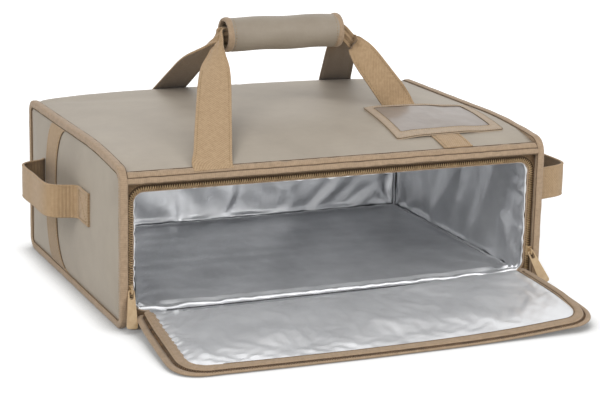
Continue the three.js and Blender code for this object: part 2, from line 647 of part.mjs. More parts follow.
// Side handles: a webbing loop on each side panel, over an upright strip that flares at both ends.
// The left loop has a sewn tab at each end. The front end of the right one goes into the bound edge.
function loopOutline(start, frontTab, web) {
  const rise = LOOP_RISE.map(([run, out]) => [LOOP_TURN * run, LOOP_BULGE * out]);
  const rear = frontTab + LOOP_SPAN;
  const points = [
    [0, 0],
    [frontTab, 0],
    ...rise.map(([run, out]) => [frontTab + run, out]),
    [frontTab + LOOP_SPAN / 2, LOOP_BULGE],
    ...[...rise].reverse().map(([run, out]) => [rear - run, out]),
    [rear, 0],
    [rear + LOOP_TAB, 0],
  ];
  const outer = [];
  const inner = [];
  points.forEach(([depth, out], i) => {
    const [a, b] = [points[Math.max(i - 1, 0)], points[Math.min(i + 1, points.length - 1)]];
    const along = point(b[1] - a[1], b[0] - a[0]).normalize();
    const at = point(out + web / 2, start + depth);
    outer.push(at.clone().add(point(along.y, -along.x).multiplyScalar(web / 2)));
    inner.push(at.clone().add(point(-along.y, along.x).multiplyScalar(web / 2)));
  });
  return [outer, inner.reverse()];
}

// Side view of the upright strip whose straight rear edge is `rear` behind the front.
function stripOutline(rear) {
  const low = INSIDE_BINDING;
  const ahead = rear - STRIP_WIDTH;
  const flared = ahead - STRIP_FLARE;
  const high = topAt(flared) - INSIDE_BINDING;
  const outline = new THREE.Shape();
  outline.moveTo(front(rear), low);
  outline.lineTo(front(rear), topAt(rear) - INSIDE_BINDING);
  outline.lineTo(front(flared), high);
  outline.quadraticCurveTo(front(ahead), high, front(ahead), high - STRIP_FLARE_RISE);
  outline.lineTo(front(ahead), low + STRIP_FLARE_RISE);
  outline.quadraticCurveTo(front(ahead), low, front(flared), low);
  return outline;
}

const loopStart = { left: LEFT_LOOP_START, right: RIGHT_LOOP_START };
const frontTab = { left: LOOP_TAB, right: RIGHT_FRONT_TAB };
for (const side of Object.keys(sides)) {
  const sign = sides[side];
  const place = (p) => point(sign * (HALF_WIDTH + GAP + p.x), front(p.y));
  const runs = loopOutline(loopStart[side], frontTab[side], LOOP_WEB);
  const outline = outlineOf(...runs.map((run) => run.map(place)));
  const low = LOOP_HEIGHT - LOOP_WIDTH / 2;
  piece(`${side}_side_handle`, alongZ(outline, low, low + LOOP_WIDTH), tanWebbing);
  const stripRear = loopStart[side] + frontTab[side] + LOOP_SPAN - LOOP_TURN / 2;
  piece(`${side}_side_strip`, onSide(side, stripOutline(stripRear), -GAP - STRIP, STRIP), tanWebbing);
}

// Label pocket: a bound frame with a clear film window, sewn over the right strap.
const pocketLift = -(strapLift + STRAP / 2 + GAP);
const pocketRight = HALF_WIDTH - POCKET_SIDE_INSET;
const pocketLeft = pocketRight - POCKET_WIDTH;
const pocketSheet = topSheet(POCKET_START, pocketEnd, pocketLift - POCKET, POCKET);
const windowFrom = POCKET_START + POCKET_BORDER;
const windowTo = pocketEnd - POCKET_BORDER;
const windowLeft = pocketLeft + POCKET_BORDER;
const windowRight = pocketRight - POCKET_BORDER;
const cutter = topSheet(windowFrom, windowTo, pocketLift - 2 * POCKET, 3 * POCKET);
const pocketFrame = solid(alongX(pocketSheet, pocketLeft, pocketRight)).subtract(
  solid(alongX(cutter, windowLeft, windowRight)),
);
piece("label_pocket_frame", geometryOf(pocketFrame), tanBinding);
const film = topSheet(windowFrom + GAP, windowTo - GAP, pocketLift - POCKET, WINDOW_FILM);
piece("label_window", alongX(film, windowLeft + GAP, windowRight - GAP), clearFilm);

// Slider: a shield-shaped plate with rails astride the chain and a bail that holds the pull.
function slider(x) {
  const [wide, nose] = [SLIDER_WIDTH / 2, SLIDER_NOSE / 2];
  const [low, high] = [SLIDER_HEIGHT - SLIDER_LENGTH / 2, SLIDER_HEIGHT + SLIDER_LENGTH / 2];
  const shield = outlineOf(
    [point(x - nose, low), point(x + nose, low)],
    arc(x + wide - BAIL_WIRE, high - BAIL_WIRE, BAIL_WIRE, 0, 90),
    arc(x - wide + BAIL_WIRE, high - BAIL_WIRE, BAIL_WIRE, 90, 180),
  );
  const channelHalf = CHAIN_WIDTH / 2 + SLIDE_CLEARANCE;
  const channel = rectangle(x - channelHalf, low - GAP, x + channelHalf, high + GAP);
  const plateBack = SLIDER_FRONT + SLIDER_PLATE;
  const railBack = INSIDE_BINDING - GAP;
  const body = solid(alongY(shield, front(SLIDER_FRONT), front(railBack))).subtract(
    solid(alongY(channel, front(plateBack), front(railBack + GAP))),
  );
  const span = BAIL_SPAN / 2;
  const foot = front(SLIDER_FRONT + SLIDER_PLATE / 2);
  const brow = front(BAIL_FRONT);
  const inner = front(BAIL_FRONT + BAIL_WIRE);
  const arch = outlineOf([
    point(foot, SLIDER_HEIGHT - span - BAIL_WIRE),
    point(foot, SLIDER_HEIGHT - span),
    point(inner, SLIDER_HEIGHT - span),
    point(inner, SLIDER_HEIGHT + span),
    point(foot, SLIDER_HEIGHT + span),
    point(foot, SLIDER_HEIGHT + span + BAIL_WIRE),
    point(inner, SLIDER_HEIGHT + span + BAIL_WIRE),
    point(brow, SLIDER_HEIGHT + span),
    point(brow, SLIDER_HEIGHT - span),
    point(inner, SLIDER_HEIGHT - span - BAIL_WIRE),
  ].reverse());
  const bail = solid(alongX(arch, x - BAIL_WIDTH / 2, x + BAIL_WIDTH / 2));
  return geometryOf(body.add(bail));
}

// Pull: a tapered tab whose eye goes round the bail, hanging down from the origin.
function pull() {
  const [head, foot] = [PULL_HEAD / 2, PULL_FOOT / 2];
  const tab = outlineOf(
    arc(-head + PULL_BAR, 0, PULL_BAR, 180, 90).reverse(),
    arc(-foot + PULL_CORNER, -PULL_LENGTH + PULL_CORNER, PULL_CORNER, 180, 270),
    arc(foot - PULL_CORNER, -PULL_LENGTH + PULL_CORNER, PULL_CORNER, 270, 360),
    arc(head - PULL_BAR, 0, PULL_BAR, 0, 90),
  );
  const eye = EYE_WIDTH / 2;
  const eyeFoot = -PULL_BAR - EYE_LENGTH + eye;
  tab.holes.push(
    outlineOf([point(eye, -PULL_BAR), point(-eye, -PULL_BAR)], arc(0, eyeFoot, eye, 180, 360)),
  );
  return alongY(tab, -PULL_THICKNESS / 2, PULL_THICKNESS / 2);
}

const pullTilt = { left: LEFT_PULL_TILT, right: RIGHT_PULL_TILT };
for (const side of Object.keys(sides)) {
  const x = sides[side] * chainX;
  piece(`${side}_slider`, slider(x), enamelledMetal);
  const tab = piece(`${side}_pull`, pull(), enamelledMetal);
  tab.position.set(x, front(PIVOT_DEPTH), PIVOT_HEIGHT);
  tab.rotation.order = "YXZ";
  tab.rotation.y = -sides[side] * radians(pullTilt[side]);
  tab.rotation.x = -radians(PULL_LEAN);
}

export default bag;
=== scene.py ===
"""Looks of a padded, foil-lined pizza bag that stands open on a plain floor.

Lengths are metres in the bag's own frame: +X to its right, -Y out of the open front, +Z up, with
the origin at the middle of the base.
"""

import logging
import math
from dataclasses import dataclass, field
from enum import Enum
from typing import Any, Iterable, Optional, Sequence

import bpy
import numpy as np
from mathutils import Matrix, Vector
from mathutils.bvhtree import BVHTree


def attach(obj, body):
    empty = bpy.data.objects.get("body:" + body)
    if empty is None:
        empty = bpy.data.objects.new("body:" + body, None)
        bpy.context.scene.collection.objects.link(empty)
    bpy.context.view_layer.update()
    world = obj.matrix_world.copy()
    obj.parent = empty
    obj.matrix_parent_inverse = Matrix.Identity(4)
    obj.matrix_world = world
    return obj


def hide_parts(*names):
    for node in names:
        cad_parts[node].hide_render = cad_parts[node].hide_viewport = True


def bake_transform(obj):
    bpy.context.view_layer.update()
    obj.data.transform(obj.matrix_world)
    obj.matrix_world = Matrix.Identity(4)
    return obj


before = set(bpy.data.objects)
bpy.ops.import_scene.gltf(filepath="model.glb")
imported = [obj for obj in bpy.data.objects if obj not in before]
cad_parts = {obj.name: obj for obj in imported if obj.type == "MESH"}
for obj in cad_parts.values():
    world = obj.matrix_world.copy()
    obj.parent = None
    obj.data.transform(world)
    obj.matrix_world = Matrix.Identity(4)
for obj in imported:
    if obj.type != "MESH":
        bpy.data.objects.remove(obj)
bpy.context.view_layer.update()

LOG = logging.getLogger("pizza_bag")
MM = 0.001
SHARP = math.radians(55)  # Faces that meet at more than this keep a sharp edge.
Piece = bpy.types.Object
Points = np.ndarray
DOWN = np.array([0, 0, -1.0])
Tree = bpy.types.NodeTree
Node = bpy.types.Node


class Side(Enum):
    """The two sides of the bag, as the sign of X."""

    LEFT = -1
    RIGHT = 1

    @property
    def word(self) -> str:
        """The side's name as pieces and solids have it."""
        return self.name.lower()


class Plane(Enum):
    """Flat paths lie in one of these planes: the axes of the path's two numbers, then the one across."""

    SIDE = (1, 2, 0)
    FRONT = (0, 2, 1)
    FLOOR = (0, 1, 2)


@dataclass(frozen=True)
class BagSizes:
    """Sizes that several sub-assemblies share."""

    half_width: float = 267 * MM
    depth: float = 381 * MM
    front_height: float = 178 * MM
    crown_rise: float = 16 * MM
    crown_run: float = 150 * MM
    fold: float = 16 * MM
    brow: float = 15 * MM
    foot: float = 15 * MM
    welt: float = 7 * MM
    welt_run: float = 60 * MM
    welt_turn: float = 20 * MM
    binding: float = 8.5 * MM
    seam: float = 8.8 * MM
    wall: float = 18 * MM
    floor: float = 17.8 * MM
    zip_inset: float = 12.2 * MM
    zip_drop: float = 16.4 * MM
    strap_x: float = 151 * MM
    grip_z: float = 297 * MM
    grip_half: float = 75 * MM
    beside: float = 300 * MM  # Points start here, outside the padding, and are then laid on it.
    behind: float = 250 * MM
    above: float = 200 * MM

    @property
    def rear_height(self) -> float:
        """The height of the top at the back."""
        return self.front_height + self.crown_rise

    def y(self, depth: float) -> float:
        """The Y of a point that far behind the front."""
        return depth - self.depth / 2

    def top(self, depth: Any) -> Any:
        """The height of the crowned top that far behind the front."""
        share = np.clip(np.asarray(depth) / self.crown_run, 0.0, 1.0)
        return self.front_height + self.crown_rise * (1 - (1 - share) ** 2)

    def edge_top(self, depth: Any) -> Any:
        """The height of a side's upper edge, whose bound welt stands above the top near the front."""
        return self.top(depth) + self.welt * np.exp(-np.asarray(depth) / self.welt_run)

    def side_outline(self, step: float) -> Points:
        """The closed outline of a side, as rows of Y and Z.

        Args:
            step: Distance between points.

        Returns:
            The points, from the front foot back, up and forward again.
        """
        back = self.y(self.depth)
        crown = [(self.y(d), float(self.edge_top(d)), 0.0) for d in np.arange(0.34, 0.03, -0.01)]
        corners = [
            (self.y(0), 0.0, self.foot),
            (back, 0.0, self.fold),
            (back, self.rear_height, self.fold),
            *crown,
            (self.y(0), self.front_height + self.welt, self.welt_turn),
        ]
        return rounded_path(corners, step, closed=True)

    def zip_path(self, step: float, tucked: float = 0.0) -> Points:
        """The zip's line round the opening, up the left side first.

        Args:
            step: Distance between points.
            tucked: How far each end turns inward under the sill; 0 where it ends straight.

        Returns:
            Rows of X and Z.
        """
        x, z = self.half_width - self.zip_inset, self.front_height - self.zip_drop
        foot, turn = 14 * MM, 17 * MM
        corners = [(-x, foot, tucked), (-x, z, turn), (x, z, turn), (x, foot, tucked)]
        if tucked:
            corners = [(tucked * 1.2 - x, foot, 0.0), *corners, (x - tucked * 1.2, foot, 0.0)]
        return rounded_path(corners, step, closed=False)


def run_along(line: Points) -> Points:
    """How far along a line each of its points is."""
    return np.concatenate([[0], np.cumsum(np.linalg.norm(np.diff(line, axis=0), axis=1))])


def sample(marks: Points, run: Points, rows: Points) -> Points:
    """Rows at marks along a line, between those at its points."""
    return np.stack([np.interp(marks, run, column) for column in rows.T], axis=1)


def full_turn(count: int) -> Points:
    """Angles at even distances round a full turn."""
    return np.linspace(0, 2 * math.pi, count, endpoint=False)


def unit(rows: Points) -> Points:
    """The rows, each scaled to length 1."""
    return rows / np.linalg.norm(rows, axis=1, keepdims=True)


def ramp(value: Any, start: float, run: float) -> Any:
    """A share that is 0 up to the start and rises evenly to 1 over the run."""
    return np.clip((value - start) / run, 0, 1)


def bell(value: Any, centre: float, width: float) -> Any:
    """A share that is 1 at the centre and fades on both sides of it."""
    return np.exp(-((value - centre) / width) ** 2)


def lattice(*parts: Any) -> Points:
    """Rows and columns of points from their separate numbers, spread to one shape."""
    return np.stack(np.broadcast_arrays(*parts), axis=-1)


def in_plane(plane: Plane, flat: Points, across: Any) -> Points:
    """Points of the bag's frame from a plane's two numbers and the one across it."""
    points = np.empty((*flat.shape[:-1], 3))
    for axis, part in zip(plane.value, (flat[..., 0], flat[..., 1], across)):
        points[..., axis] = part
    return points


def strap_axes(spine: Points, across: Points) -> tuple[Points, Points]:
    """Unit vectors across a strap and off its face, square to its line."""
    along = unit(np.gradient(spine, axis=0))
    across = unit(across - along * (across * along).sum(axis=1, keepdims=True))
    return across, np.cross(across, along)


def rounded_path(corners: Sequence[tuple[float, float, float]], step: float, closed: bool) -> Points:
    """A flat line with rounded corners.

    Args:
        corners: The corners, each with its two numbers and its radius.
        step: Distance between the points of the line.
        closed: Whether the last corner joins the first.

    Returns:
        Rows of two numbers at even distances.
    """
    at = np.array([c[:2] for c in corners])
    count = len(corners)
    line: list[Points] = []
    for i, (_, _, radius) in enumerate(corners):
        if radius == 0 or (not closed and i in (0, count - 1)):
            line.append(at[i])
            continue
        back = at[i - 1] - at[i]
        ahead = at[(i + 1) % count] - at[i]
        back, ahead = back / np.linalg.norm(back), ahead / np.linalg.norm(ahead)
        half = math.acos(float(np.clip(back @ ahead, -1, 1))) / 2
        centre = at[i] + (back + ahead) / np.linalg.norm(back + ahead) * radius / math.sin(half)
        spread = math.pi / 2 - half
        middle = math.atan2(*(at[i] - centre)[::-1])
        turn = math.copysign(1, back[1] * ahead[0] - back[0] * ahead[1])
        for angle in np.linspace(-spread, spread, 13):
            line.append(centre + radius * np.array(
                [math.cos(middle + turn * angle), math.sin(middle + turn * angle)]))
    if closed:
        line.append(line[0])
    path = np.array(line)
    run = run_along(path)
    marks = np.linspace(0, run[-1], max(2, round(run[-1] / step)) + 1)
    even = sample(marks, run, path)
    return even[:-1] if closed else even


def left_normals(path: Points, closed: bool) -> Points:
    """Unit normals to the left of a flat line."""
    ends = (np.roll(path, 1, 0), np.roll(path, -1, 0)) if closed else (
        np.vstack([path[:1], path[:-1]]), np.vstack([path[1:], path[-1:]]))
    along = unit(ends[1] - ends[0])
    return np.stack([-along[:, 1], along[:, 0]], axis=1)


def ripple(points: Points, size: float, seed: int, waves: int = 14) -> Points:
    """Smooth noise, the same in each run.

    Args:
        points: Rows of points, or a single column of distances.
        size: Length of a typical wave.
        seed: Picks the pattern.
        waves: How many sine waves are added.

    Returns:
        One number for each point, mostly between -1 and 1.
    """
    rows = points.reshape(-1, points.shape[-1])
    random = np.random.default_rng(seed)
    ways = random.normal(size=(waves, rows.shape[1]))
    ways *= (2 * math.pi / size * random.uniform(0.6, 1.5, waves) / np.linalg.norm(ways, axis=1))[:, None]
    total = np.sin(rows @ ways.T + random.uniform(0, 2 * math.pi, waves)).sum(axis=1)
    return (total / math.sqrt(waves / 2)).reshape(points.shape[:-1]) * 0.7


def smooth_line(points: Points, per_span: int) -> Points:
    """A smooth curve through points of any size, with spans of uneven length.

    Args:
        points: Rows of numbers; the first three are a place.
        per_span: Points made for each span.

    Returns:
        The rows of the curve.
    """
    run = np.concatenate([[0], np.cumsum(np.sqrt(np.linalg.norm(np.diff(points[:, :3], axis=0), axis=1)))])
    slopes = np.gradient(points, run, axis=0)
    rows = []
    for i in range(len(points) - 1):
        span = run[i + 1] - run[i]
        for t in np.linspace(0, 1, per_span, endpoint=False):
            h = (2 * t**3 - 3 * t**2 + 1, t**3 - 2 * t**2 + t, -2 * t**3 + 3 * t**2, t**3 - t**2)
            rows.append(h[0] * points[i] + h[1] * span * slopes[i]
                        + h[2] * points[i + 1] + h[3] * span * slopes[i + 1])
    rows.append(points[-1])
    return np.array(rows)


def grid_piece(
    name: str, points: Points, uv: Optional[Points] = None, wrap: bool = False, loop: bool = False,
    capped: bool = False,
) -> Piece:
    """A mesh from rows and columns of points.

    Args:
        name: The piece's name.
        points: Array of rows, columns and three numbers.
        uv: Array of rows, columns and two numbers, in metres, for woven patterns.
        wrap: Whether the last column joins the first.
        loop: Whether the last row joins the first.
        capped: Whether the first and last rows are closed by a face.

    Returns:
        The new piece, smooth shaded.
    """
    rows, cols = points.shape[:2]
    faces: list[tuple[int, ...]] = []
    for r in range(rows if loop else rows - 1):
        s = (r + 1) % rows
        for c in range(cols if wrap else cols - 1):
            d = (c + 1) % cols
            faces.append((r * cols + c, r * cols + d, s * cols + d, s * cols + c))
    if capped:
        faces.append(tuple(range(cols - 1, -1, -1)))
        faces.append(tuple(range((rows - 1) * cols, rows * cols)))
    return mesh_piece(name, points.reshape(-1, 3), faces, None if uv is None else uv.reshape(-1, 2))


def mesh_piece(name: str, points: Points, faces: list, uv: Optional[Points] = None) -> Piece:
    """A smooth-shaded piece from points and faces.

    Args:
        name: The piece's name.
        points: Rows of three numbers.
        faces: Tuples of point numbers.
        uv: Rows of two numbers, one for each point.

    Returns:
        The new piece.
    """
    mesh = bpy.data.meshes.new(name)
    mesh.from_pydata(points.tolist(), [], faces)
    mesh.shade_smooth()
    mesh.set_sharp_from_angle(angle=SHARP)
    if uv is not None:
        corner = np.empty(len(mesh.loops), dtype=np.int32)
        mesh.loops.foreach_get("vertex_index", corner)
        mesh.uv_layers.new(name="weave").data.foreach_set("uv", uv[corner].ravel())
    piece = bpy.data.objects.new(name, mesh)
    bpy.context.scene.collection.objects.link(piece)
    return piece


def sweep_piece(
    name: str, path: Points, profile: Points, plane: Plane, closed: bool, uneven: float = 0.0
) -> Piece:
    """Runs a closed profile along a flat line.

    Args:
        name: The piece's name.
        path: Rows of two numbers in the plane.
        profile: Rows of two numbers: to the left of the line, and across the plane.
        plane: The plane that the line lies in.
        closed: Whether the line is closed.
        uneven: How far the sewn tape strays from its true profile.

    Returns:
        The new piece.
    """
    normals = left_normals(path, closed)
    flat = path[:, None, :] + normals[:, None, :] * profile[None, :, :1]
    points = in_plane(plane, flat, profile[:, 1])
    if uneven:
        centre = points.mean(axis=1, keepdims=True)
        points = centre + (points - centre) * (1 + uneven * ripple(points, 22 * MM, len(name)))[..., None]
    uv = lattice(run_along(profile), run_along(path)[:, None])
    return face_out(grid_piece(name, points, uv, wrap=True, loop=closed, capped=not closed))


def face_out(piece: Piece) -> Piece:
    """Turns a closed piece's faces outward."""
    mesh, corners = piece.data, coordinates(piece)
    volume = sum(
        float(np.dot(corners[p.vertices[0]], np.cross(corners[p.vertices[k]], corners[p.vertices[k + 1]])))
        for p in mesh.polygons for k in range(1, len(p.vertices) - 1))
    if volume < 0:
        mesh.flip_normals()
    return piece


def edged(low: float, high: float, step: float) -> Points:
    """Places from one seam to another, closer together beside the seams.

    Args:
        low: The first seam.
        high: The last seam.
        step: Distance between the places away from the seams.

    Returns:
        The places.
    """
    near = np.array([0, 1, 2, 3.2, 4.5, 6, 8, 10.5, 14]) * MM
    inner = np.linspace(low + 19 * MM, high - 19 * MM, round((high - low) / step))
    return np.concatenate([low + near, inner, high - near[::-1]])


def seam_roll(edge: Points) -> Points:
    """How far foil beside a seam stands up: a soft roll, and a crease where the seam draws it in."""
    return 2.2 * MM * bell(edge, 6 * MM, 3.4 * MM) - 2.6 * MM * np.exp(-edge / (1.8 * MM))


def fan(across: Points, up: Points, folds: float, reach: float) -> Points:
    """Folds that spread from a corner, between -1 and 1.

    Args:
        across: Distance of each point from the corner, along one edge.
        up: The same along the other edge.
        folds: How many folds there are in a quarter turn.
        reach: How far they run before they fade.

    Returns:
        One number for each point.
    """
    far = np.hypot(across, up)
    waves = np.sin(4 * folds * np.arctan2(up, across) + 0.7 * np.sin(far / (9 * MM)))
    return waves * np.exp(-far / reach) * far / (far + 6 * MM)


def rounded_profile(half: tuple[float, float], centre: tuple[float, float], power: float, count: int) -> Points:
    """A rounded rectangle as a closed profile.

    Args:
        half: Half sizes.
        centre: The middle.
        power: 2 gives an ellipse, more gives squarer corners.
        count: Number of points.

    Returns:
        Rows of two numbers.
    """
    angle = full_turn(count)
    c, s = np.cos(angle), np.sin(angle)
    return np.stack([
        centre[0] + half[0] * np.sign(c) * np.abs(c) ** (2 / power),
        centre[1] + half[1] * np.sign(s) * np.abs(s) ** (2 / power)], axis=1)


def ribbon_piece(
    name: str, spine: Points, across: Points, width: Points, full: float, thickness: float, gather: float
) -> Piece:
    """A woven strap along a line, thicker at its selvages, folded lengthwise where it is gathered.

    Args:
        name: The piece's name.
        spine: Rows of points along its middle.
        across: Rows of vectors from one edge to the other.
        width: Its width at each point.
        full: Its width where it lies flat.
        thickness: Its thickness.
        gather: Height of the lengthwise folds where it is narrowest.

    Returns:
        The new piece.
    """
    across, normal = strap_axes(spine, across)
    share = np.array([-1, -0.985, -0.94, -0.88, -0.7, -0.45, -0.2, 0, 0.2, 0.45, 0.7, 0.88, 0.94, 0.985, 1])
    lift = np.array([0.35, 0.95, 1.2, 0.85, 0.92, 0.97, 1, 1, 1, 0.97, 0.92, 0.85, 1.2, 0.95, 0.35])
    share, lift = np.concatenate([share, share[::-1]]), np.concatenate([lift, -lift[::-1]])
    crowding = np.clip(1 - width / full, 0, 1)[:, None]
    fold = gather * crowding * np.cos(share[None, :] * 2.5 * math.pi)
    out = lift[None, :] * thickness / 2 + fold
    points = (spine[:, None, :] + across[:, None, :] * (share[None, :] * width[:, None] / 2)[..., None]
              + normal[:, None, :] * out[..., None])
    uv = lattice(share * full / 2, run_along(spine)[:, None])
    return face_out(grid_piece(name, points, uv, wrap=True, capped=True))


def tube_piece(name: str, line: Points, radius: float) -> Piece:
    """A thin round cord along a line.

    Args:
        name: The piece's name.
        line: Rows of points.
        radius: The cord's radius.

    Returns:
        The new piece.
    """
    along = unit(np.gradient(line, axis=0))
    aside = unit(np.cross(along, np.where(np.abs(along[:, 2:]) < 0.9, [[0, 0, 1.0]], [[1.0, 0, 0]])))
    spin = full_turn(8)[None, :, None]
    ring = np.cos(spin) * aside[:, None, :] + np.sin(spin) * np.cross(along, aside)[:, None, :]
    return face_out(grid_piece(name, line[:, None, :] + radius * ring, wrap=True, capped=True))


class Skin:
    """The outside of padded pieces, on which straps and pockets are sewn."""

    reach = 100 * MM

    def __init__(self, *pieces: Piece) -> None:
        """Gathers the faces of the pieces."""
        points: list[Vector] = []
        faces: list[tuple[int, ...]] = []
        for piece in pieces:
            start = len(points)
            points += [v.co.copy() for v in piece.data.vertices]
            faces += [tuple(start + i for i in p.vertices) for p in piece.data.polygons]
        self.tree = BVHTree.FromPolygons(points, faces)

    def land(self, points: Points, along: tuple[float, float, float], lift: Any) -> Points:
        """Moves points on to the skin.

        Args:
            points: Rows of points, anywhere along the way.
            along: Unit vector towards the skin.
            lift: How far off the skin each point stays.

        Returns:
            The moved points; one that meets no skin stays where it was.
        """
        way = np.array(along)
        flat = points.reshape(-1, 3)
        lifts = np.broadcast_to(np.asarray(lift, dtype=float), points.shape[:-1]).reshape(-1)
        moved = flat.copy()
        for i, p in enumerate(flat):
            hit = self.tree.ray_cast(Vector(p - way * self.reach), Vector(way), 2 * self.reach)[0]
            if hit is not None:
                moved[i] = np.array(hit) - way * lifts[i]
        return moved.reshape(points.shape)


@dataclass(frozen=True)
class Settling:
    """How sewn fabric is let settle over its foam."""

    pressure: float = 0.0
    slack: float = 0.0
    bond: float = 0.0
    stiffness: float = 15.0
    bending: float = 0.5
    limit: float = 5 * MM
    frames: int = 20

    def apply(self, piece: Piece, sewn: Points) -> None:
        """Runs the cloth solver on a sheet and keeps the shape it ends in.

        Args:
            piece: The sheet.
            sewn: For each point, 1 where it is sewn down and 0 where it is free.
        """
        rest = coordinates(piece)
        held = np.maximum(sewn.ravel(), self.bond)
        group = piece.vertex_groups.new(name="sewn")
        for weight in np.unique(held):
            group.add(np.flatnonzero(held == weight).tolist(), float(weight), "REPLACE")
        modifier = piece.modifiers.new("settling", "CLOTH")
        cloth = modifier.settings
        cloth.quality = 5
        cloth.tension_stiffness = cloth.compression_stiffness = cloth.shear_stiffness = self.stiffness
        cloth.bending_stiffness = self.bending
        cloth.vertex_group_mass = "sewn"
        cloth.shrink_min = -self.slack
        cloth.use_pressure = self.pressure > 0
        cloth.uniform_pressure_force = self.pressure
        cloth.effector_weights.gravity = 0
        modifier.collision_settings.use_collision = False
        modifier.point_cache.frame_end = self.frames
        scene = bpy.context.scene
        for number in range(1, self.frames + 1):
            scene.frame_set(number)
        done = piece.evaluated_get(bpy.context.evaluated_depsgraph_get())
        settled = coordinates(done)
        piece.modifiers.remove(modifier)
        piece.vertex_groups.remove(group)
        scene.frame_set(1)
        moved = settled - rest
        length = np.linalg.norm(moved, axis=1, keepdims=True)
        moved *= self.limit * np.tanh(length / self.limit) / np.maximum(length, 1e-9)
        set_coordinates(piece, rest + moved)
        LOG.info("%s settled by up to %.1f mm", piece.name, 1000 * float(length.max()))


def coordinates(piece: Piece) -> Points:
    """The piece's points as rows."""
    return np.array([v.co[:] for v in piece.data.vertices])


def set_coordinates(piece: Piece, points: Points) -> None:
    """Moves the piece's points to these rows."""
    piece.data.vertices.foreach_set("co", points.reshape(-1))
    piece.data.update()


class Stitching:
    """Rows of lockstitch, gathered into one piece for each sub-assembly."""

    def __init__(self, pitch: float = 3.6 * MM, thread: float = 0.9 * MM) -> None:
        """Sets the stitch's pitch and the thread's thickness."""
        self.pitch = pitch
        self.thread = thread
        self.points: list[Points] = []
        self.faces: list[tuple[int, ...]] = []

    def row(self, line: Points, out: Any) -> None:
        """Adds stitches along a line.

        Args:
            line: Rows of points on the fabric.
            out: Unit vector off the fabric, or one for each point.
        """
        run = run_along(line)
        outs = np.broadcast_to(np.asarray(out, dtype=float), line.shape)
        marks = np.arange(self.pitch / 2, run[-1], self.pitch)
        reach = self.pitch * 0.36
        place = [sample(np.clip(marks + d, 0, run[-1]), run, line) for d in (-reach, 0.0, reach)]
        for start, middle, end, normal in zip(*place, sample(marks, run, outs)):
            side = np.cross(end - start, normal)
            side *= self.thread / 2 / max(float(np.linalg.norm(side)), 1e-9)
            base = sum(len(p) for p in self.points)
            top = middle + normal * self.thread * 0.55
            low = middle - normal * self.thread / 3
            self.points.append(np.array([start, end, middle + side, middle - side, top, low]))
            for a, b in ((2, 4), (4, 3), (3, 5), (5, 2)):
                self.faces.append((base, base + a, base + b))
                self.faces.append((base + 1, base + b, base + a))

    def box(self, corners: Points, out: Any) -> None:
        """Adds a box of stitches with a cross in it, through four corners in order."""
        for a, b in ((0, 1), (1, 2), (2, 3), (3, 0), (0, 2), (1, 3)):
            self.row(np.linspace(corners[a], corners[b], 24), out)

    def piece(self, name: str) -> Piece:
        """All the rows as one piece."""
        return mesh_piece(name, np.concatenate(self.points), self.faces)


def linear(code: str) -> tuple[float, float, float, float]:
    """An sRGB hex colour as linear red, green, blue and alpha."""
    parts = [int(code[i:i + 2], 16) / 255 for i in (1, 3, 5)]
    red, green, blue = (p / 12.92 if p <= 0.04045 else ((p + 0.055) / 1.055) ** 2.4 for p in parts)
    return red, green, blue, 1.0


def set_node(tree: Tree, node: Node, settings: Optional[dict] = None, links: Optional[dict] = None) -> Node:
    """Gives a node its settings and links.

    Args:
        tree: The node tree.
        node: The node.
        settings: Input values by name or number, "stops" of a colour ramp, or properties by name.
        links: Sockets to join, or nodes whose first output is joined, by input name or number.

    Returns:
        The node.
    """
    for key, value in (settings or {}).items():
        if key == "stops":
            for (place, code), stop in zip(value, node.color_ramp.elements):
                stop.position, stop.color = place, linear(code)
        elif isinstance(key, int) or key in node.inputs:
            node.inputs[key].default_value = value
        else:
            setattr(node, key, value)
    for key, source in (links or {}).items():
        tree.links.new(source.outputs[0] if isinstance(source, Node) else source, node.inputs[key])
    return node


def add_node(tree: Tree, kind: str, settings: Optional[dict] = None, links: Optional[dict] = None) -> Node:
    """Adds a shader node of a kind, such as "Bump", with settings and links as in set_node."""
    return set_node(tree, tree.nodes.new(f"ShaderNode{kind}"), settings, links)


def shaded(tree: Tree, colour: Node, reach: float, least: float) -> Node:
    """Paints shade into a colour: darker in folds, and on faces close to others.

    Args:
        tree: The node tree.
        colour: The node that gives the colour.
        reach: How near another face has to be.
        least: The share of the colour that is left in the deepest fold.

    Returns:
        least: The share of the colour that is left where the painted shade is deepest.
    """
    open_share = add_node(tree, "AmbientOcclusion", {"samples": 8, "Distance": reach}).outputs["AO"]
    value = add_node(tree, "MapRange", {"From Min": 0.1, "From Max": 0.75, "To Min": least}, {"Value": open_share})
    return add_node(tree, "HueSaturation", None, {"Value": value, "Color": colour})


def bands(millimetres: float) -> float:
    """The scale of a wave texture whose stripes repeat at this distance."""
    return 2 * math.pi / 20 / (millimetres * MM)


def cells(millimetres: float) -> float:
    """The scale of a noise or cell texture whose features are this large."""
    return 1 / (millimetres * MM)


@dataclass(frozen=True)
class Finish:
    """A material: its name, the slot that it belongs to, and how its nodes are laid."""

    name: str
    slot: str

    def lay(self, tree: Tree, shader: Node) -> None:
        """Adds this finish's nodes to the shader."""
        raise NotImplementedError

    def material(self) -> bpy.types.Material:
        """The finish's material, made once."""
        made = bpy.data.materials.get(self.name)
        if made is None:
            made = bpy.data.materials.new(self.name)
            made.use_nodes = True
            self.lay(made.node_tree, made.node_tree.nodes["Principled BSDF"])
        return made


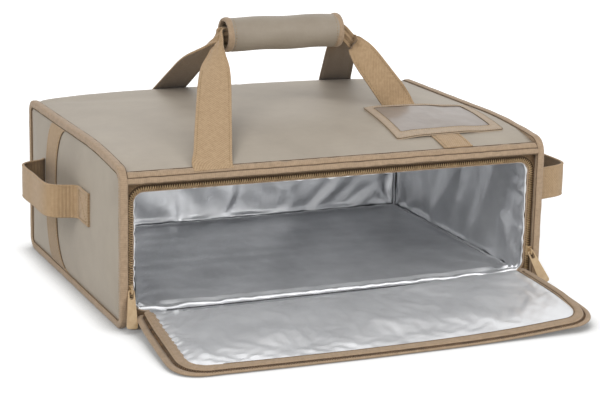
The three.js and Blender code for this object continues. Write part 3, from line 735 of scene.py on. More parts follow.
@dataclass(frozen=True)
class CoatedPolyester(Finish):
    """Woven polyester with a thin resin coat: a matt face with a soft sheen and a faint, even weave."""

    name: str = "coated_polyester_calendered"
    slot: str = "coated_fabric"
    dark: str = "#A99D8D"
    light: str = "#B8AD9D"
    thread_mm: float = 1.8  # Real threads are about 0.6 mm apart; drawn coarser so that they show.

    def lay(self, tree: Tree, shader: Node) -> None:
        """Adds mottled colour, weave and soft dents."""
        place = {"Vector": add_node(tree, "TexCoord").outputs["Object"]}
        mottle = add_node(tree, "TexNoise", {"Scale": cells(60), "Detail": 5.0, "Roughness": 0.62}, place)
        colour = add_node(tree, "ValToRGB", {"stops": [(0.3, self.dark), (0.72, self.light)]}, {"Fac": mottle})
        threads = {"Scale": bands(self.thread_mm), "Distortion": 0.6, "Detail": 1.0}
        waves = [add_node(tree, "TexWave", {"bands_direction": axis, **threads}, place).outputs[1] for axis in "XYZ"]
        pair = add_node(tree, "Math", {"operation": "ADD"}, {0: waves[0], 1: waves[1]})
        weave = add_node(tree, "Math", {"operation": "ADD"}, {0: pair, 1: waves[2]})
        fine = add_node(tree, "Bump", {"Strength": 0.22, "Distance": 0.12 * MM}, {"Height": weave})
        dents = add_node(tree, "TexNoise", {"Scale": cells(28), "Detail": 2.0}, place)
        coarse = add_node(tree, "Bump", {"Strength": 0.25, "Distance": 1.2 * MM}, {"Height": dents, "Normal": fine})
        gloss = add_node(tree, "MapRange", {"To Min": 0.48, "To Max": 0.66}, {"Value": mottle})
        set_node(tree, shader, {"Sheen Weight": 0.12}, {"Base Color": colour, "Roughness": gloss, "Normal": coarse})


@dataclass(frozen=True)
class WovenTape(Finish):
    """Narrow polyester tape, woven with cross ribs: dull, a little hairy, darker between its ribs."""

    name: str = "polyester_tape_woven"
    slot: str = "tan_binding"
    dark: str = "#9D866C"
    light: str = "#BEA387"
    rib_mm: float = 2.2  # Real ribs are about 1 mm apart; drawn coarser so that they show.
    fold: float = 0.7  # The share of its colour left where its painted shade is deepest, in folds and recesses.

    def lay(self, tree: Tree, shader: Node) -> None:
        """Adds ribs along the tape, fibre noise, uneven dye and painted shade in folds and recesses."""
        coords = add_node(tree, "TexCoord")
        ribs = add_node(tree, "TexWave", {"bands_direction": "Y", "Scale": bands(self.rib_mm), "Distortion": 1.2,
                                          "Detail": 2.0}, {"Vector": coords.outputs["UV"]})
        fibre = add_node(tree, "TexNoise", {"Scale": cells(5), "Detail": 6.0, "Roughness": 0.7},
                         {"Vector": coords.outputs["Object"]})
        blend = add_node(tree, "Math", {"operation": "MULTIPLY_ADD", 1: 0.12}, {0: ribs.outputs[1], 2: fibre})
        colour = add_node(tree, "ValToRGB", {"stops": [(0.3, self.dark), (0.8, self.light)]}, {"Fac": blend})
        bump = add_node(tree, "Bump", {"Strength": 0.4, "Distance": 0.3 * MM}, {"Height": blend})
        # Painted shade: the colour darkens where ambient occlusion finds other faces near.
        set_node(tree, shader, {"Roughness": 0.78, "Sheen Weight": 0.2},
                 {"Base Color": shaded(tree, colour, 20 * MM, self.fold), "Normal": bump})


@dataclass(frozen=True)
class TwillWebbing(Finish):
    """Heavy cotton-like webbing in a twill weave: diagonal ribs, a soft hairy face, plain selvages."""

    name: str = "webbing_twill_woven"
    slot: str = "tan_webbing"
    dark: str = "#A2845F"
    light: str = "#C6A884"
    rib_mm: float = 2.4  # Real ribs are about 1.5 mm apart; drawn coarser so that they show.

    def lay(self, tree: Tree, shader: Node) -> None:
        """Adds the twill's diagonals over picks, with fibre noise, and painted shade where other faces are near."""
        coords = add_node(tree, "TexCoord")
        woven = {"Vector": coords.outputs["UV"]}
        twill = add_node(tree, "TexWave", {"bands_direction": "DIAGONAL", "Scale": bands(self.rib_mm) * 1.4,
                                           "Distortion": 1.5, "Detail": 2.0, "Detail Scale": 1.6}, woven)
        picks = add_node(tree, "TexWave", {"bands_direction": "Y", "Scale": bands(self.rib_mm * 0.8),
                                           "Distortion": 1.0}, woven)
        fibre = add_node(tree, "TexNoise", {"Scale": cells(4), "Detail": 6.0, "Roughness": 0.75},
                         {"Vector": coords.outputs["Object"]})
        ribs = add_node(tree, "Math", {"operation": "MULTIPLY_ADD", 1: 0.35},
                        {0: picks.outputs[1], 2: twill.outputs[1]})
        blend = add_node(tree, "Math", {"operation": "MULTIPLY_ADD", 1: 0.28}, {0: ribs, 2: fibre})
        colour = add_node(tree, "ValToRGB", {"stops": [(0.35, self.dark), (0.9, self.light)]}, {"Fac": blend})
        bump = add_node(tree, "Bump", {"Strength": 0.7, "Distance": 0.5 * MM}, {"Height": blend})
        # Painted shade: the colour darkens on faces that others crowd, such as strap undersides and the inside of
        # the loops.
        set_node(tree, shader, {"Roughness": 0.85, "Sheen Weight": 0.25},
                 {"Base Color": shaded(tree, colour, 150 * MM, 0.35), "Normal": bump})


@dataclass(frozen=True)
class AluminisedFilm(Finish):
    """Film with a vapour-deposited aluminium face: bright, blurred reflections broken by small creases."""

    name: str = "aluminised_film_creased"
    slot: str = "foil_lining"
    dark: str = "#CDCED0"
    light: str = "#E2E3E5"
    crease_mm: float = 38.0
    depth: float = 0.1
    metal: float = 0.78  # The clear face over the metal scatters the rest.
    rough: float = 0.27

    def lay(self, tree: Tree, shader: Node) -> None:
        """Adds creases of two sizes and patches of duller film."""
        place = add_node(tree, "TexCoord").outputs["Object"]
        stray = add_node(tree, "TexNoise", {"Scale": cells(40), "Detail": 3.0}, {"Vector": place})
        bent = add_node(tree, "VectorMath", {"operation": "MULTIPLY_ADD", 1: (0.03, 0.03, 0.03)},
                        {0: stray.outputs[1], 2: place})
        facets = add_node(tree, "TexVoronoi", {"feature": "SMOOTH_F1", "Scale": cells(self.crease_mm),
                                               "Smoothness": 0.35}, {"Vector": bent})
        small = add_node(tree, "TexNoise", {"Scale": cells(26), "Detail": 1.0, "Roughness": 0.4}, {"Vector": bent})
        large = add_node(tree, "Bump", {"Strength": self.depth, "Distance": 2.2 * MM}, {"Height": facets})
        both = add_node(tree, "Bump", {"Strength": self.depth, "Distance": 1.6 * MM},
                        {"Height": small, "Normal": large})
        colour = add_node(tree, "ValToRGB", {"stops": [(0.3, self.dark), (0.7, self.light)]}, {"Fac": stray})
        gloss = add_node(tree, "MapRange", {"To Min": self.rough, "To Max": self.rough + 0.09}, {"Value": small})
        set_node(tree, shader, {"Metallic": self.metal}, {"Base Color": colour, "Roughness": gloss, "Normal": both})


@dataclass(frozen=True)
class DyedFibre(Finish):
    """Drawn or twisted fibre: grain of one size in its dye and its face."""

    dark: str = "#000000"
    light: str = "#FFFFFF"
    grain_mm: float = 1.0
    detail: float = 2.0
    strength: float = 0.5
    depth: float = 0.1 * MM
    rough: float = 0.5

    def lay(self, tree: Tree, shader: Node) -> None:
        """Adds uneven dye and fine marks."""
        place = {"Vector": add_node(tree, "TexCoord").outputs["Object"]}
        grain = add_node(tree, "TexNoise", {"Scale": cells(self.grain_mm), "Detail": self.detail}, place)
        colour = add_node(tree, "ValToRGB", {"stops": [(0.3, self.dark), (0.7, self.light)]}, {"Fac": grain})
        bump = add_node(tree, "Bump", {"Strength": self.strength, "Distance": self.depth}, {"Height": grain})
        set_node(tree, shader, {"Roughness": self.rough}, {"Base Color": colour, "Normal": bump})


@dataclass(frozen=True)
class NylonCoil(DyedFibre):
    """Nylon wire, drawn and coiled: a smooth satin plastic, slightly uneven in tone."""

    name: str = "nylon_wire_coiled"
    slot: str = "zip_chain"
    dark: str = "#A0835C"
    light: str = "#C9AC82"
    grain_mm: float = 7.0
    detail: float = 4.0
    strength: float = 0.2
    rough: float = 0.38


@dataclass(frozen=True)
class EnamelledZinc(Finish):
    """Zinc, die cast and stove enamelled: a smooth satin coat that thins and dulls at handled edges."""

    name: str = "zinc_die_cast_enamelled"
    slot: str = "enamelled_metal"
    coat: str = "#B5946A"
    worn: str = "#C9AE86"

    def lay(self, tree: Tree, shader: Node) -> None:
        """Adds worn edges, orange peel and smears."""
        place = {"Vector": add_node(tree, "TexCoord").outputs["Object"]}
        edge = add_node(tree, "NewGeometry").outputs["Pointiness"]
        smear = add_node(tree, "TexNoise", {"Scale": cells(6), "Detail": 4.0}, place)
        wear = add_node(tree, "Math", {"operation": "MULTIPLY_ADD", 1: 0.25}, {0: smear, 2: edge})
        colour = add_node(tree, "ValToRGB", {"stops": [(0.6, self.coat), (0.74, self.worn)]}, {"Fac": wear})
        peel = add_node(tree, "TexNoise", {"Scale": cells(1.5), "Detail": 1.0}, place)
        bump = add_node(tree, "Bump", {"Strength": 0.15, "Distance": 0.1 * MM}, {"Height": peel})
        gloss = add_node(tree, "MapRange", {"To Min": 0.26, "To Max": 0.46}, {"Value": smear})
        set_node(tree, shader, {"Coat Weight": 0.3}, {"Base Color": colour, "Roughness": gloss, "Normal": bump})


@dataclass(frozen=True)
class ClearVinyl(Finish):
    """Soft clear vinyl, cast as film: glossy, a little milky, with the long ripples of a sewn window."""

    name: str = "clear_vinyl_cast"
    slot: str = "clear_film"
    tint: str = "#A99D94"

    def lay(self, tree: Tree, shader: Node) -> None:
        """Adds rub marks to the gloss and ripples to the face."""
        place = {"Vector": add_node(tree, "TexCoord").outputs["Object"]}
        waves = add_node(tree, "TexNoise", {"Scale": cells(22), "Detail": 2.0, "Distortion": 0.8}, place)
        rub = add_node(tree, "TexNoise", {"Scale": cells(8), "Detail": 5.0}, place)
        bump = add_node(tree, "Bump", {"Strength": 0.35, "Distance": 1.0 * MM}, {"Height": waves})
        gloss = add_node(tree, "MapRange", {"To Min": 0.24, "To Max": 0.42}, {"Value": rub})
        cloud = add_node(tree, "MapRange", {"To Min": 0.8, "To Max": 0.98}, {"Value": waves})
        look = {"Base Color": linear(self.tint), "IOR": 1.53, "Coat Weight": 0.2, "Coat Roughness": 0.25}
        set_node(tree, shader, look, {"Roughness": gloss, "Alpha": cloud, "Normal": bump})


@dataclass(frozen=True)
class SewingThread(DyedFibre):
    """Bonded polyester thread, twisted: slightly glossy and uneven in tone."""

    name: str = "polyester_thread_twisted"
    slot: str = "tan_binding"
    dark: str = "#8E744F"
    light: str = "#B99B6F"
    grain_mm: float = 1.2
    depth: float = 0.15 * MM
    rough: float = 0.6


@dataclass(frozen=True)
class HookAndLoop(Finish):
    """Nylon closure tape with cut hooks or napped loops: a dull, grainy face."""

    name: str = "nylon_closure_tape_napped"
    slot: str = "hook_and_loop"
    dark: str = "#6F6049"
    light: str = "#A08D6E"
    nap_mm: float = 1.6

    def lay(self, tree: Tree, shader: Node) -> None:
        """Adds the nap's grain."""
        place = {"Vector": add_node(tree, "TexCoord").outputs["Object"]}
        nap = add_node(tree, "TexVoronoi", {"Scale": cells(self.nap_mm)}, place)
        colour = add_node(tree, "ValToRGB", {"stops": [(0.1, self.light), (0.8, self.dark)]}, {"Fac": nap})
        bump = add_node(tree, "Bump", {"Strength": 0.8, "Distance": 0.5 * MM}, {"Height": nap})
        set_node(tree, shader, {"Roughness": 0.92}, {"Base Color": colour, "Normal": bump})


BAG = BagSizes()
FABRIC = CoatedPolyester()
TAPE = WovenTape()
# Zip tape: its own brown, made darker as painted shade for its recess, with strong painted shade in folds (fold
# 0.35).
ZIP_TAPE = WovenTape(name="zip_tape_knitted", slot="zip_tape", dark="#765C40", light="#957755", rib_mm=1.6,
                     fold=0.35)
# Painted shade: a dark strip laid behind the zip coils, standing for the shade seen between their turns.
SHADE_BED = WovenTape(name="zip_tape_woven_dark", slot="zip_tape", dark="#47351F", light="#614A30")
FRAME_TAPE = WovenTape(name="pocket_tape_woven", dark="#AC9780", light="#C7B299")
# Painted shade: a darker copy of the bag's fabric for the grip's pads.
SHADED_GRIP_FABRIC = CoatedPolyester(name="coated_polyester_handled", dark="#978B7B", light="#A79B8B")
WEBBING = TwillWebbing()
# The foil sheets are one film; their base colours differ from sheet to sheet as painted light and shade: floor,
# side, flap, lip and welt pieces are lighter than back, roof and hinge tuck.
FOIL = AluminisedFilm(dark="#C6C7C9", light="#DCDDDF")
FLOOR_FOIL = AluminisedFilm(name="aluminised_film_smoothed", dark="#E2E3E5", light="#F5F6F8", crease_mm=120.0,
                            depth=0.02, rough=0.36)
SIDE_FOIL = AluminisedFilm(name="aluminised_film_gathered", dark="#E2E3E5", light="#F4F5F7", crease_mm=34.0,
                           depth=0.14)
FLAP_FOIL = AluminisedFilm(name="aluminised_film_laid", dark="#E4E5E7", light="#F5F6F8", crease_mm=70.0,
                           depth=0.05, metal=0.48, rough=0.36)
COIL = NylonCoil()
# Painted shade: a darker copy of the coil, for the flap's coil in the shade of its rim.
SHADED_COIL = NylonCoil(name="nylon_coil_wound_dark", dark="#3E2C1A", light="#7E6040")
ENAMEL = EnamelledZinc()
VINYL = ClearVinyl()
THREAD = SewingThread()
# Painted shade: dark cords laid in the sunk lines beside bindings, tapes, strips and the pocket frame, standing for
# the shade in those gaps.
SHADE_CORD = SewingThread(name="polyester_thread_dark_twisted", dark="#55432F", light="#7A6449")
# Painted shade: a dark grey cord standing for the shade in the crevice under the sill's roll.
SILL_SHADE_CORD = SewingThread(name="polyester_thread_grey_twisted", slot="foil_lining", dark="#39393B",
                         light="#5E5E61")
CLOSURE = HookAndLoop()


def coat(piece: Piece, finish: Finish) -> None:
    """Gives a piece its finish's material and no other."""
    piece.data.materials.clear()
    piece.data.materials.append(finish.material())


def dress(piece: Piece, finish: Finish, body: str = "bag_body", stands_for: Iterable[str] = ()) -> Piece:
    """Gives a piece its finish and the body that it moves with.

    Args:
        piece: The piece, already in place.
        finish: Its finish.
        body: The body that carries it; an empty name where the piece bends between bodies.
        stands_for: The solids that it is shown in place of.

    Returns:
        The piece.
    """
    coat(piece, finish)
    if body:
        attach(piece, body)
    names = list(stands_for)
    if names:
        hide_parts(*names)
    LOG.info("%s: %s on %s", piece.name, finish.name, body or "two bodies")
    return piece


@dataclass
class OuterShell:
    """The padded fabric of the top, back, base and sides."""

    step: float = 6.5 * MM
    roll: float = 2.2 * MM
    roll_width: float = 4 * MM
    puff: float = 6 * MM
    puff_edge: float = 45 * MM
    tie_edge: float = 35 * MM
    swell: Settling = Settling(pressure=1.6, bond=0.02, limit=5 * MM)

    def build(self) -> None:
        """Makes and dresses the wrap and the two side panels."""
        self.wrap = self.wrap_panel()
        dress(self.wrap, FABRIC, stands_for=("top_back_wrap", "base_panel", "top_foam", "back_foam",
                                             "base_foam", "base_board"))
        self.panels = {side: self.side_panel(side) for side in Side}
        for side, panel in self.panels.items():
            word = side.word
            dress(panel, FABRIC, stands_for=(f"{word}_side_panel", f"{word}_foam"))

    def wrap_panel(self) -> Piece:
        """The fabric that runs over the top, down the back and under the base."""
        back, half = BAG.y(BAG.depth), BAG.half_width - BAG.seam
        crown = [(BAG.y(d), float(BAG.top(d)), 0.0) for d in np.arange(0.03, 0.35, 0.012)]
        corners = [(BAG.y(0), 0.15, 0.0), (BAG.y(0), BAG.front_height, BAG.brow), *crown,
                   (back, BAG.rear_height, BAG.fold), (back, 0.0, BAG.fold),
                   (BAG.y(0.3 * MM), 0.0, 0.0)]
        line = rounded_path(corners, self.step, closed=False)
        start = int(np.argmax(line[:, 0] > BAG.y(BAG.seam)))
        gap = (BAG.y(BAG.seam) - line[start - 1, 0]) / (line[start, 0] - line[start - 1, 0])
        line = np.vstack([line[start - 1] + gap * (line[start] - line[start - 1]), line[start:]])
        normals = left_normals(line, closed=False)
        xs = np.linspace(-half, half, round(2 * half / self.step) + 1)
        edge = np.minimum(xs + half, half - xs)
        sunk = self.roll * np.exp(-edge / self.roll_width)
        base = np.clip(1 - line[:, 1] / (20 * MM), 0, 1)
        rolled = line[:, None, :] - normals[:, None, :] * sunk[None, :, None]
        points = lattice(xs, rolled[..., 0], rolled[..., 1])
        points[..., 2] += self.rise(points, edge)
        points[..., 2] = np.maximum(points[..., 2], 0.2 * MM)
        piece = grid_piece("outer_wrap", points)
        free = (base[:, None] <= 0) & (edge[None, :] > self.step / 2) & (np.arange(len(line))[:, None] > 0)
        self.swell.apply(piece, np.where(free, 0.0, 1.0))
        return piece

    def rise(self, points: Points, edge: Points) -> Points:
        """How far the stuffed top stands above its frame.

        Args:
            points: Rows and columns of the wrap's points.
            edge: Distance of each column from the nearer side edge.

        Returns:
            The rise of each point: most at the middle of the rear, and at the front up to the welts.
        """
        depth = points[..., 1] - BAG.y(0)
        upper = ramp(points[..., 2], 120 * MM, 60 * MM)
        rear = ramp(depth, 30 * MM, 230 * MM)
        puff = self.puff * rear**0.8 * (1 - np.exp(-edge / self.puff_edge))
        welt = BAG.edge_top(depth) - BAG.top(depth)
        tie = welt * ramp(depth, 10 * MM, 45 * MM) * np.exp(-edge / self.tie_edge)
        return upper * (puff + tie)

    def side_panel(self, side: Side) -> Piece:
        """One padded side, sewn in at its edges."""
        seam = BAG.seam - 0.6 * MM
        depths = np.linspace(seam, BAG.depth - seam, 56)[::side.value]
        shares = np.linspace(0, 1, 26)
        low, high = seam, BAG.edge_top(depths) - seam
        z = low + (high - low) * shares[:, None]
        edge = lattice(depths - seam, BAG.depth - seam - depths, z - low, high - z).min(axis=-1)
        x = side.value * (BAG.half_width - 0.3 * MM - self.roll * np.exp(-edge / self.roll_width))
        piece = grid_piece(f"{side.word}_side_padding", lattice(x, BAG.y(0) + depths, z))
        self.swell.apply(piece, np.where(edge > 1 * MM, 0.0, 1.0))
        return piece


@dataclass
class Bindings:
    """The bound edges of the sides and the double band along the front top edge."""

    stitch_inset: float = 6.9 * MM
    seam_width: float = 0.5 * MM

    def build(self) -> None:
        """Makes and dresses the three bindings, their stitches and dark cords of painted shade in the sunk seams
        beside them.
        """
        stitches = Stitching(pitch=3.4 * MM, thread=0.7 * MM)
        outline = BAG.side_outline(4 * MM)
        normals = left_normals(outline, True)
        half = BAG.binding / 2
        for side in Side:
            word = side.word
            centre = side.value * (BAG.half_width - half)
            profile = rounded_profile((half + 0.3 * MM, half + 0.4 * MM), (half - 0.1 * MM, centre), 4.0, 28)
            piece = sweep_piece(f"{word}_bound_edge", outline, profile, Plane.SIDE, True, 0.03)
            dress(piece, TAPE, stands_for=(f"{word}_edge_binding",))
            inner = outline + normals * self.stitch_inset
            face = in_plane(Plane.SIDE, inner, side.value * (BAG.half_width + 0.2 * MM))
            stitches.row(np.vstack([face, face[:1]]), (side.value, 0, 0))
            # Dark cords of painted shade in the sunk seams beside the binding.
            for spot, inset, out in (("side", 8.9 * MM, 266.2 * MM), ("top", 1.0 * MM, 258.1 * MM)):
                thread = rounded_profile((self.seam_width,) * 2, (inset, side.value * out), 2, 8)
                dress(sweep_piece(f"{word}_{spot}_seam", outline, thread, Plane.SIDE, True), SHADE_CORD)
        for number, piece in enumerate(self.brow_bands()):
            dress(piece, TAPE, stands_for=("front_top_binding",) if number == 0 else ())
        # Dark cords of painted shade in the sunk seams of the front top edge.
        for name, angle, sink in (("brow_low", 173.5, 0.2), ("brow_mid", 145.0, 0.3), ("brow_high", 109.0, 0.1)):
            dress(self.brow_line(f"{name}_seam", angle, sink * MM), SHADE_CORD)
        dress(stitches.piece("binding_stitches"), THREAD)

    def brow_centre(self) -> Points:
        """The middle of the front top edge's rounding, as depth and height."""
        slope = math.atan2(2 * BAG.crown_rise, BAG.crown_run)
        rise = BAG.brow * math.tan(math.pi / 4 - slope / 2)
        return np.array([BAG.brow, BAG.front_height - rise])

    def brow_line(self, name: str, angle: float, sink: float) -> Piece:
        """A dark cord of painted shade in a sunk seam along the front top edge, at an angle round its rounding."""
        way = np.array([math.cos(math.radians(angle)), math.sin(math.radians(angle))])
        at = self.brow_centre() + way * (BAG.brow - sink)
        half = BAG.half_width - BAG.binding
        xs = np.linspace(-half, half, 60)
        spin = full_turn(8)
        points = lattice(xs[:, None], BAG.y(at[0]) + self.seam_width * np.cos(spin),
                         at[1] + self.seam_width * np.sin(spin))
        return face_out(grid_piece(name, points, wrap=True, capped=True))

    def brow_bands(self) -> list[Piece]:
        """The two folded bands round the front top edge."""
        made = []
        half = BAG.half_width - BAG.binding + 0.5 * MM
        xs = np.linspace(-half, half, 130)
        for word, low, high in (("lower", 172.5, 146.0), ("upper", 144.0, 110.0)):
            angles = np.radians(np.linspace(low, high, 14))
            share = np.linspace(0, 1, 14)
            swell = 1.7 * MM * np.sin(math.pi * share) ** 0.6 - 0.6 * MM
            ways = np.stack([np.cos(angles), np.sin(angles)], 1)
            profile = np.vstack([self.brow_centre() + (BAG.brow + swell)[:, None] * ways,
                                 self.brow_centre() + (BAG.brow - 4 * MM) * ways[::-3]])
            points = lattice(xs[:, None], BAG.y(0) + profile[:, 0], profile[:, 1])
            points[..., 1:] += 0.2 * MM * ripple(points, 18 * MM, len(word))[..., None]
            uv = lattice(run_along(profile), xs[:, None])
            made.append(face_out(grid_piece(f"front_brow_{word}_band", points, uv, wrap=True, capped=True)))
        return made


def coil_piece(
    name: str, path: Points, plane: Plane, centre: tuple[float, float], radii: tuple[float, float]
) -> Piece:
    """A zip's nylon coil along a flat line.

    Args:
        name: The piece's name.
        path: Rows of two numbers in the plane.
        plane: The plane that the line lies in.
        centre: The coil's middle: to the left of the line, and across the plane.
        radii: Its half width along the plane, and its half height across it.

    Returns:
        The new piece.
    """
    pitch, wire, samples, sides = 2.8 * MM, 0.62 * MM, 12, 6
    run = run_along(path)
    marks = np.linspace(0, run[-1], round(run[-1] / pitch) * samples + 1)
    at = sample(marks, run, path)
    normals = left_normals(at, False)
    turn = 2 * math.pi * marks / pitch
    flat = at + normals * (centre[0] + radii[0] * np.cos(turn))[:, None]
    line = in_plane(plane, flat, centre[1] + radii[1] * np.sin(turn))
    along = unit(np.gradient(line, axis=0))
    one = unit(np.cross(along, in_plane(plane, unit(np.gradient(at, axis=0)), 0.0)))
    two = np.cross(along, one)
    spin = full_turn(sides)[None, :, None]
    points = line[:, None, :] + wire * (np.cos(spin) * one[:, None, :] + np.sin(spin) * two[:, None, :])
    return face_out(grid_piece(name, points, wrap=True, capped=True))


@dataclass
class ZipFrame:
    """The tapes round the opening, the coil on them, and the sliders, pulls and stops."""

    tape_front: float = 8.2 * MM
    tape_back: float = 10.3 * MM
    coil_depth: float = 7.2 * MM

    def build(self) -> None:
        """Makes and dresses the tapes and the coil, and finishes the metal parts."""
        path, tucked = BAG.zip_path(4 * MM), BAG.zip_path(4 * MM, 20 * MM)
        front, back = BAG.y(self.tape_front), BAG.y(self.tape_back)
        middle = (front + back) / 2
        tape = rounded_profile((7.6 * MM, (back - front) / 2), (3.4 * MM, middle), 6, 20)
        dress(sweep_piece("opening_zip_tape", tucked, tape, Plane.FRONT, False, 0.02), ZIP_TAPE,
              stands_for=("zip_facing",))
        edge = rounded_profile((0.9 * MM, 1.6 * MM), (-4.4 * MM, BAG.y(9.1 * MM)), 2.6, 16)
        dress(sweep_piece("opening_edge_tape", tucked, edge, Plane.FRONT, False, 0.05), TAPE)
        centre = (-1.3 * MM, BAG.y(self.coil_depth))
        coil = coil_piece("opening_zip_coil", path, Plane.FRONT, centre, (2.1 * MM, 0.8 * MM))
        dress(coil, COIL, stands_for=("body_zip_chain",))
        # Dark strips of painted shade behind the coil, seen between its turns.
        for word, offset, wide in (("outer", 1.9 * MM, 1.0 * MM), ("inner", -1.3 * MM, 1.7 * MM)):
            groove = rounded_profile((wide, 0.3 * MM), (offset, front - 0.1 * MM), 4, 12)
            dress(sweep_piece(f"opening_zip_{word}_groove", path, groove, Plane.FRONT, False), SHADE_BED)
        stitches = Stitching(thread=0.8 * MM)
        normals = left_normals(path, False)
        stitches.row(in_plane(Plane.FRONT, path + normals * 3.6 * MM, front - 0.1 * MM), (0, -1, 0))
        dress(stitches.piece("opening_zip_stitches"), THREAD)
        for word in ("left", "right"):
            for part in ("slider", "pull", "zip_stop"):
                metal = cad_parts[f"{word}_{part}"]
                coat(metal, ENAMEL)
                bevel = metal.modifiers.new("cast_edges", "BEVEL")
                bevel.width = 0.5 * MM
                bevel.segments = 2
                bevel.limit_method = "ANGLE"


@dataclass
class FoilLiner:
    """The foil sheets inside: floor with its rolled sill, roof, back and the two sides."""

    step: float = 7 * MM
    half: float = 248.7 * MM
    back: float = 172.2 * MM
    front: float = 10.4 * MM
    ease: float = 1.02
    welt_inset: float = 4.2 * MM
    welt_radius: float = 1.2 * MM
    wall: Settling = Settling(slack=0.012, bond=0.12, bending=0.4, limit=3 * MM)
    floor: Settling = Settling(slack=0.003, bond=0.3, bending=1.0, limit=0.8 * MM)

    @property
    def deep(self) -> float:
        """How far behind the front the back sheet hangs."""
        return self.back - BAG.y(0)

    def build(self) -> None:
        """Makes, settles and dresses each sheet and the rolled edge round the opening."""
        xs = edged(-self.half, self.half, self.step)
        depths = edged(self.front, self.deep, self.step)
        self.sheet("floor_foil", self.floor_points(xs), self.floor, FLOOR_FOIL, ("floor_lining", "sill_lining"))
        self.sheet("back_foil", self.back_points(xs), self.wall, FOIL, ("back_lining",))
        for side in Side:
            word = side.word
            self.sheet(f"{word}_foil", self.side_points(side, depths), self.wall, SIDE_FOIL, (f"{word}_lining",))
        order = depths[::-1]
        high = (BAG.top(order) - BAG.wall)[:, None] - self.pucker(xs[None, :], order[:, None], 7)
        roof = lattice(xs, BAG.y(0) + order[:, None], high)
        self.sheet("roof_foil", roof, self.wall, FOIL, ("top_lining",))
        self.lip()
        # A dark cord of painted shade in the crevice under the sill's roll.
        line = lattice(xs, BAG.y(8.2 * MM), 17.2 * MM)
        dress(tube_piece("sill_seam", line[12:-12], 0.7 * MM), SILL_SHADE_CORD)
        self.welts()

    def welts(self) -> None:
        """The corded seams where the floor meets the back and the sides, and where these meet each other."""
        wide, back, low = self.half - self.welt_inset, self.back - self.welt_inset, BAG.floor + 2 * MM
        high = BAG.top(self.deep) - BAG.wall - 6 * MM
        ends = {"floor_back_welt": ((-wide, back, low), (wide, back, low))}
        for side in Side:
            word, x = side.word, side.value * wide
            ends[f"floor_{word}_welt"] = ((x, BAG.y(34 * MM), low), (x, back, low))
            ends[f"{word}_back_welt"] = ((x, back, low), (x, back, high))
        for seed, (name, (start, stop)) in enumerate(ends.items()):
            line = np.linspace(start, stop, 90)
            line += 0.35 * MM * ripple(line, 24 * MM, 40 + seed)[:, None]
            dress(tube_piece(name, line, self.welt_radius), FLAP_FOIL)

    def floor_points(self, xs: Points) -> Points:
        """The floor sheet, rolled over the sill in front and into a seam at the other three edges."""
        sill = smooth_line(np.array([
            (10, 5), (8.9, 12), (8.8, 18.4), (9.3, 20.6), (10.8, 21.9), (13.2, 21.9), (16, 20.2), (18.6, 18.8),
            (21, 18.4), (24, 20.0), (27, 21.7), (30, 21.5), (34, 19.8), (42, 18.3), (56, 17.8)]) * MM, 4)
        level = edged(43 * MM, self.deep, self.step)
        level = level[level > 60 * MM]
        line = np.vstack([sill, lattice(level, BAG.floor)])
        depth = line[:, None, 0]
        points = lattice(xs, BAG.y(0) + depth, line[:, None, 1])
        side, rear = self.half - np.abs(points[..., 0]), self.deep - depth
        level = ramp(depth, 24 * MM, 30 * MM)
        points[..., 2] += seam_roll(np.minimum(side + 40 * MM * (1 - level), rear))
        streaks = lattice(points[..., 0] * 0.16, points[..., 1])
        strong = 0.16 + 0.22 * ramp(-points[..., 0], -60 * MM, 220 * MM)
        points[..., 2] += strong * MM * ripple(streaks, 42 * MM, 5) * level
        gather = 0.35 * MM * ripple(points[..., :1], 26 * MM, 3) * bell(depth, 18 * MM, 13 * MM)
        corner = fan(side, np.maximum(depth - 14 * MM, 0) * 0.7, 2.8, 66 * MM)
        points[..., 2] += gather + 4.4 * MM * corner * ramp(side, 0, 6 * MM)
        return points

    def back_points(self, xs: Points) -> Points:
        """The back sheet: seamed below, with soft upright folds."""
        zs = edged(BAG.floor - 2 * MM, BAG.rear_height - BAG.wall, self.step)
        x, z = np.meshgrid(xs, zs)
        up, side = z - zs[0], self.half - np.abs(x)
        folds = ripple(lattice(x + 0.5 * z, z * 0.8), 115 * MM, 8)
        out = seam_roll(np.minimum(up, side)) + 1.5 * MM * folds * ramp(up, 0, 22 * MM)
        out += 3 * MM * fan(side, up, 2.6, 34 * MM)
        return lattice(x, self.back - out, z)

    def side_points(self, side: Side, depths: Points) -> Points:
        """A side sheet: gathered at the front lip, with a standing roll at the rear corner."""
        order = depths[::-side.value]
        tops = BAG.top(order) - BAG.wall
        rows = edged(0.0, 140 * MM, self.step) / (140 * MM)
        low = BAG.floor - 2 * MM
        z = low + (tops - low) * rows[:, None]
        up, depth = z - low, np.broadcast_to(order, z.shape)
        rear = self.deep - depth
        slant = lattice(depth + 0.55 * z, 0.3 * z)
        free = ramp(up, 0, 24 * MM) * ramp(depth, 12 * MM, 24 * MM)
        out = seam_roll(np.minimum(up, rear)) + 2.2 * MM * ripple(slant, 74 * MM, 4) * free
        out += 6 * MM * bell(rear, 20 * MM, 9 * MM) * ramp(up, 14 * MM, 26 * MM)
        out += 3 * MM * fan(rear, up, 2.4, 30 * MM)
        out += np.maximum(4.6 * MM * fan(depth - 8 * MM, up, 2.4, 56 * MM), -0.8 * MM)
        out += self.pucker(z, depth, side.value)
        return lattice(side.value * (self.half - out), BAG.y(0) + depth, z)

    def pucker(self, along: Points, depth: Points, seed: int) -> Points:
        """How far gathers at the front lip lift the foil: sharp at the lip, gone 50 mm behind it."""
        waves = ripple(along[..., None], 19 * MM, 30 + seed)
        fade = np.exp(-(depth - 10 * MM) / (20 * MM)) * ramp(depth, 10 * MM, 6 * MM)
        return 3 * MM * (waves + 0.6) * fade

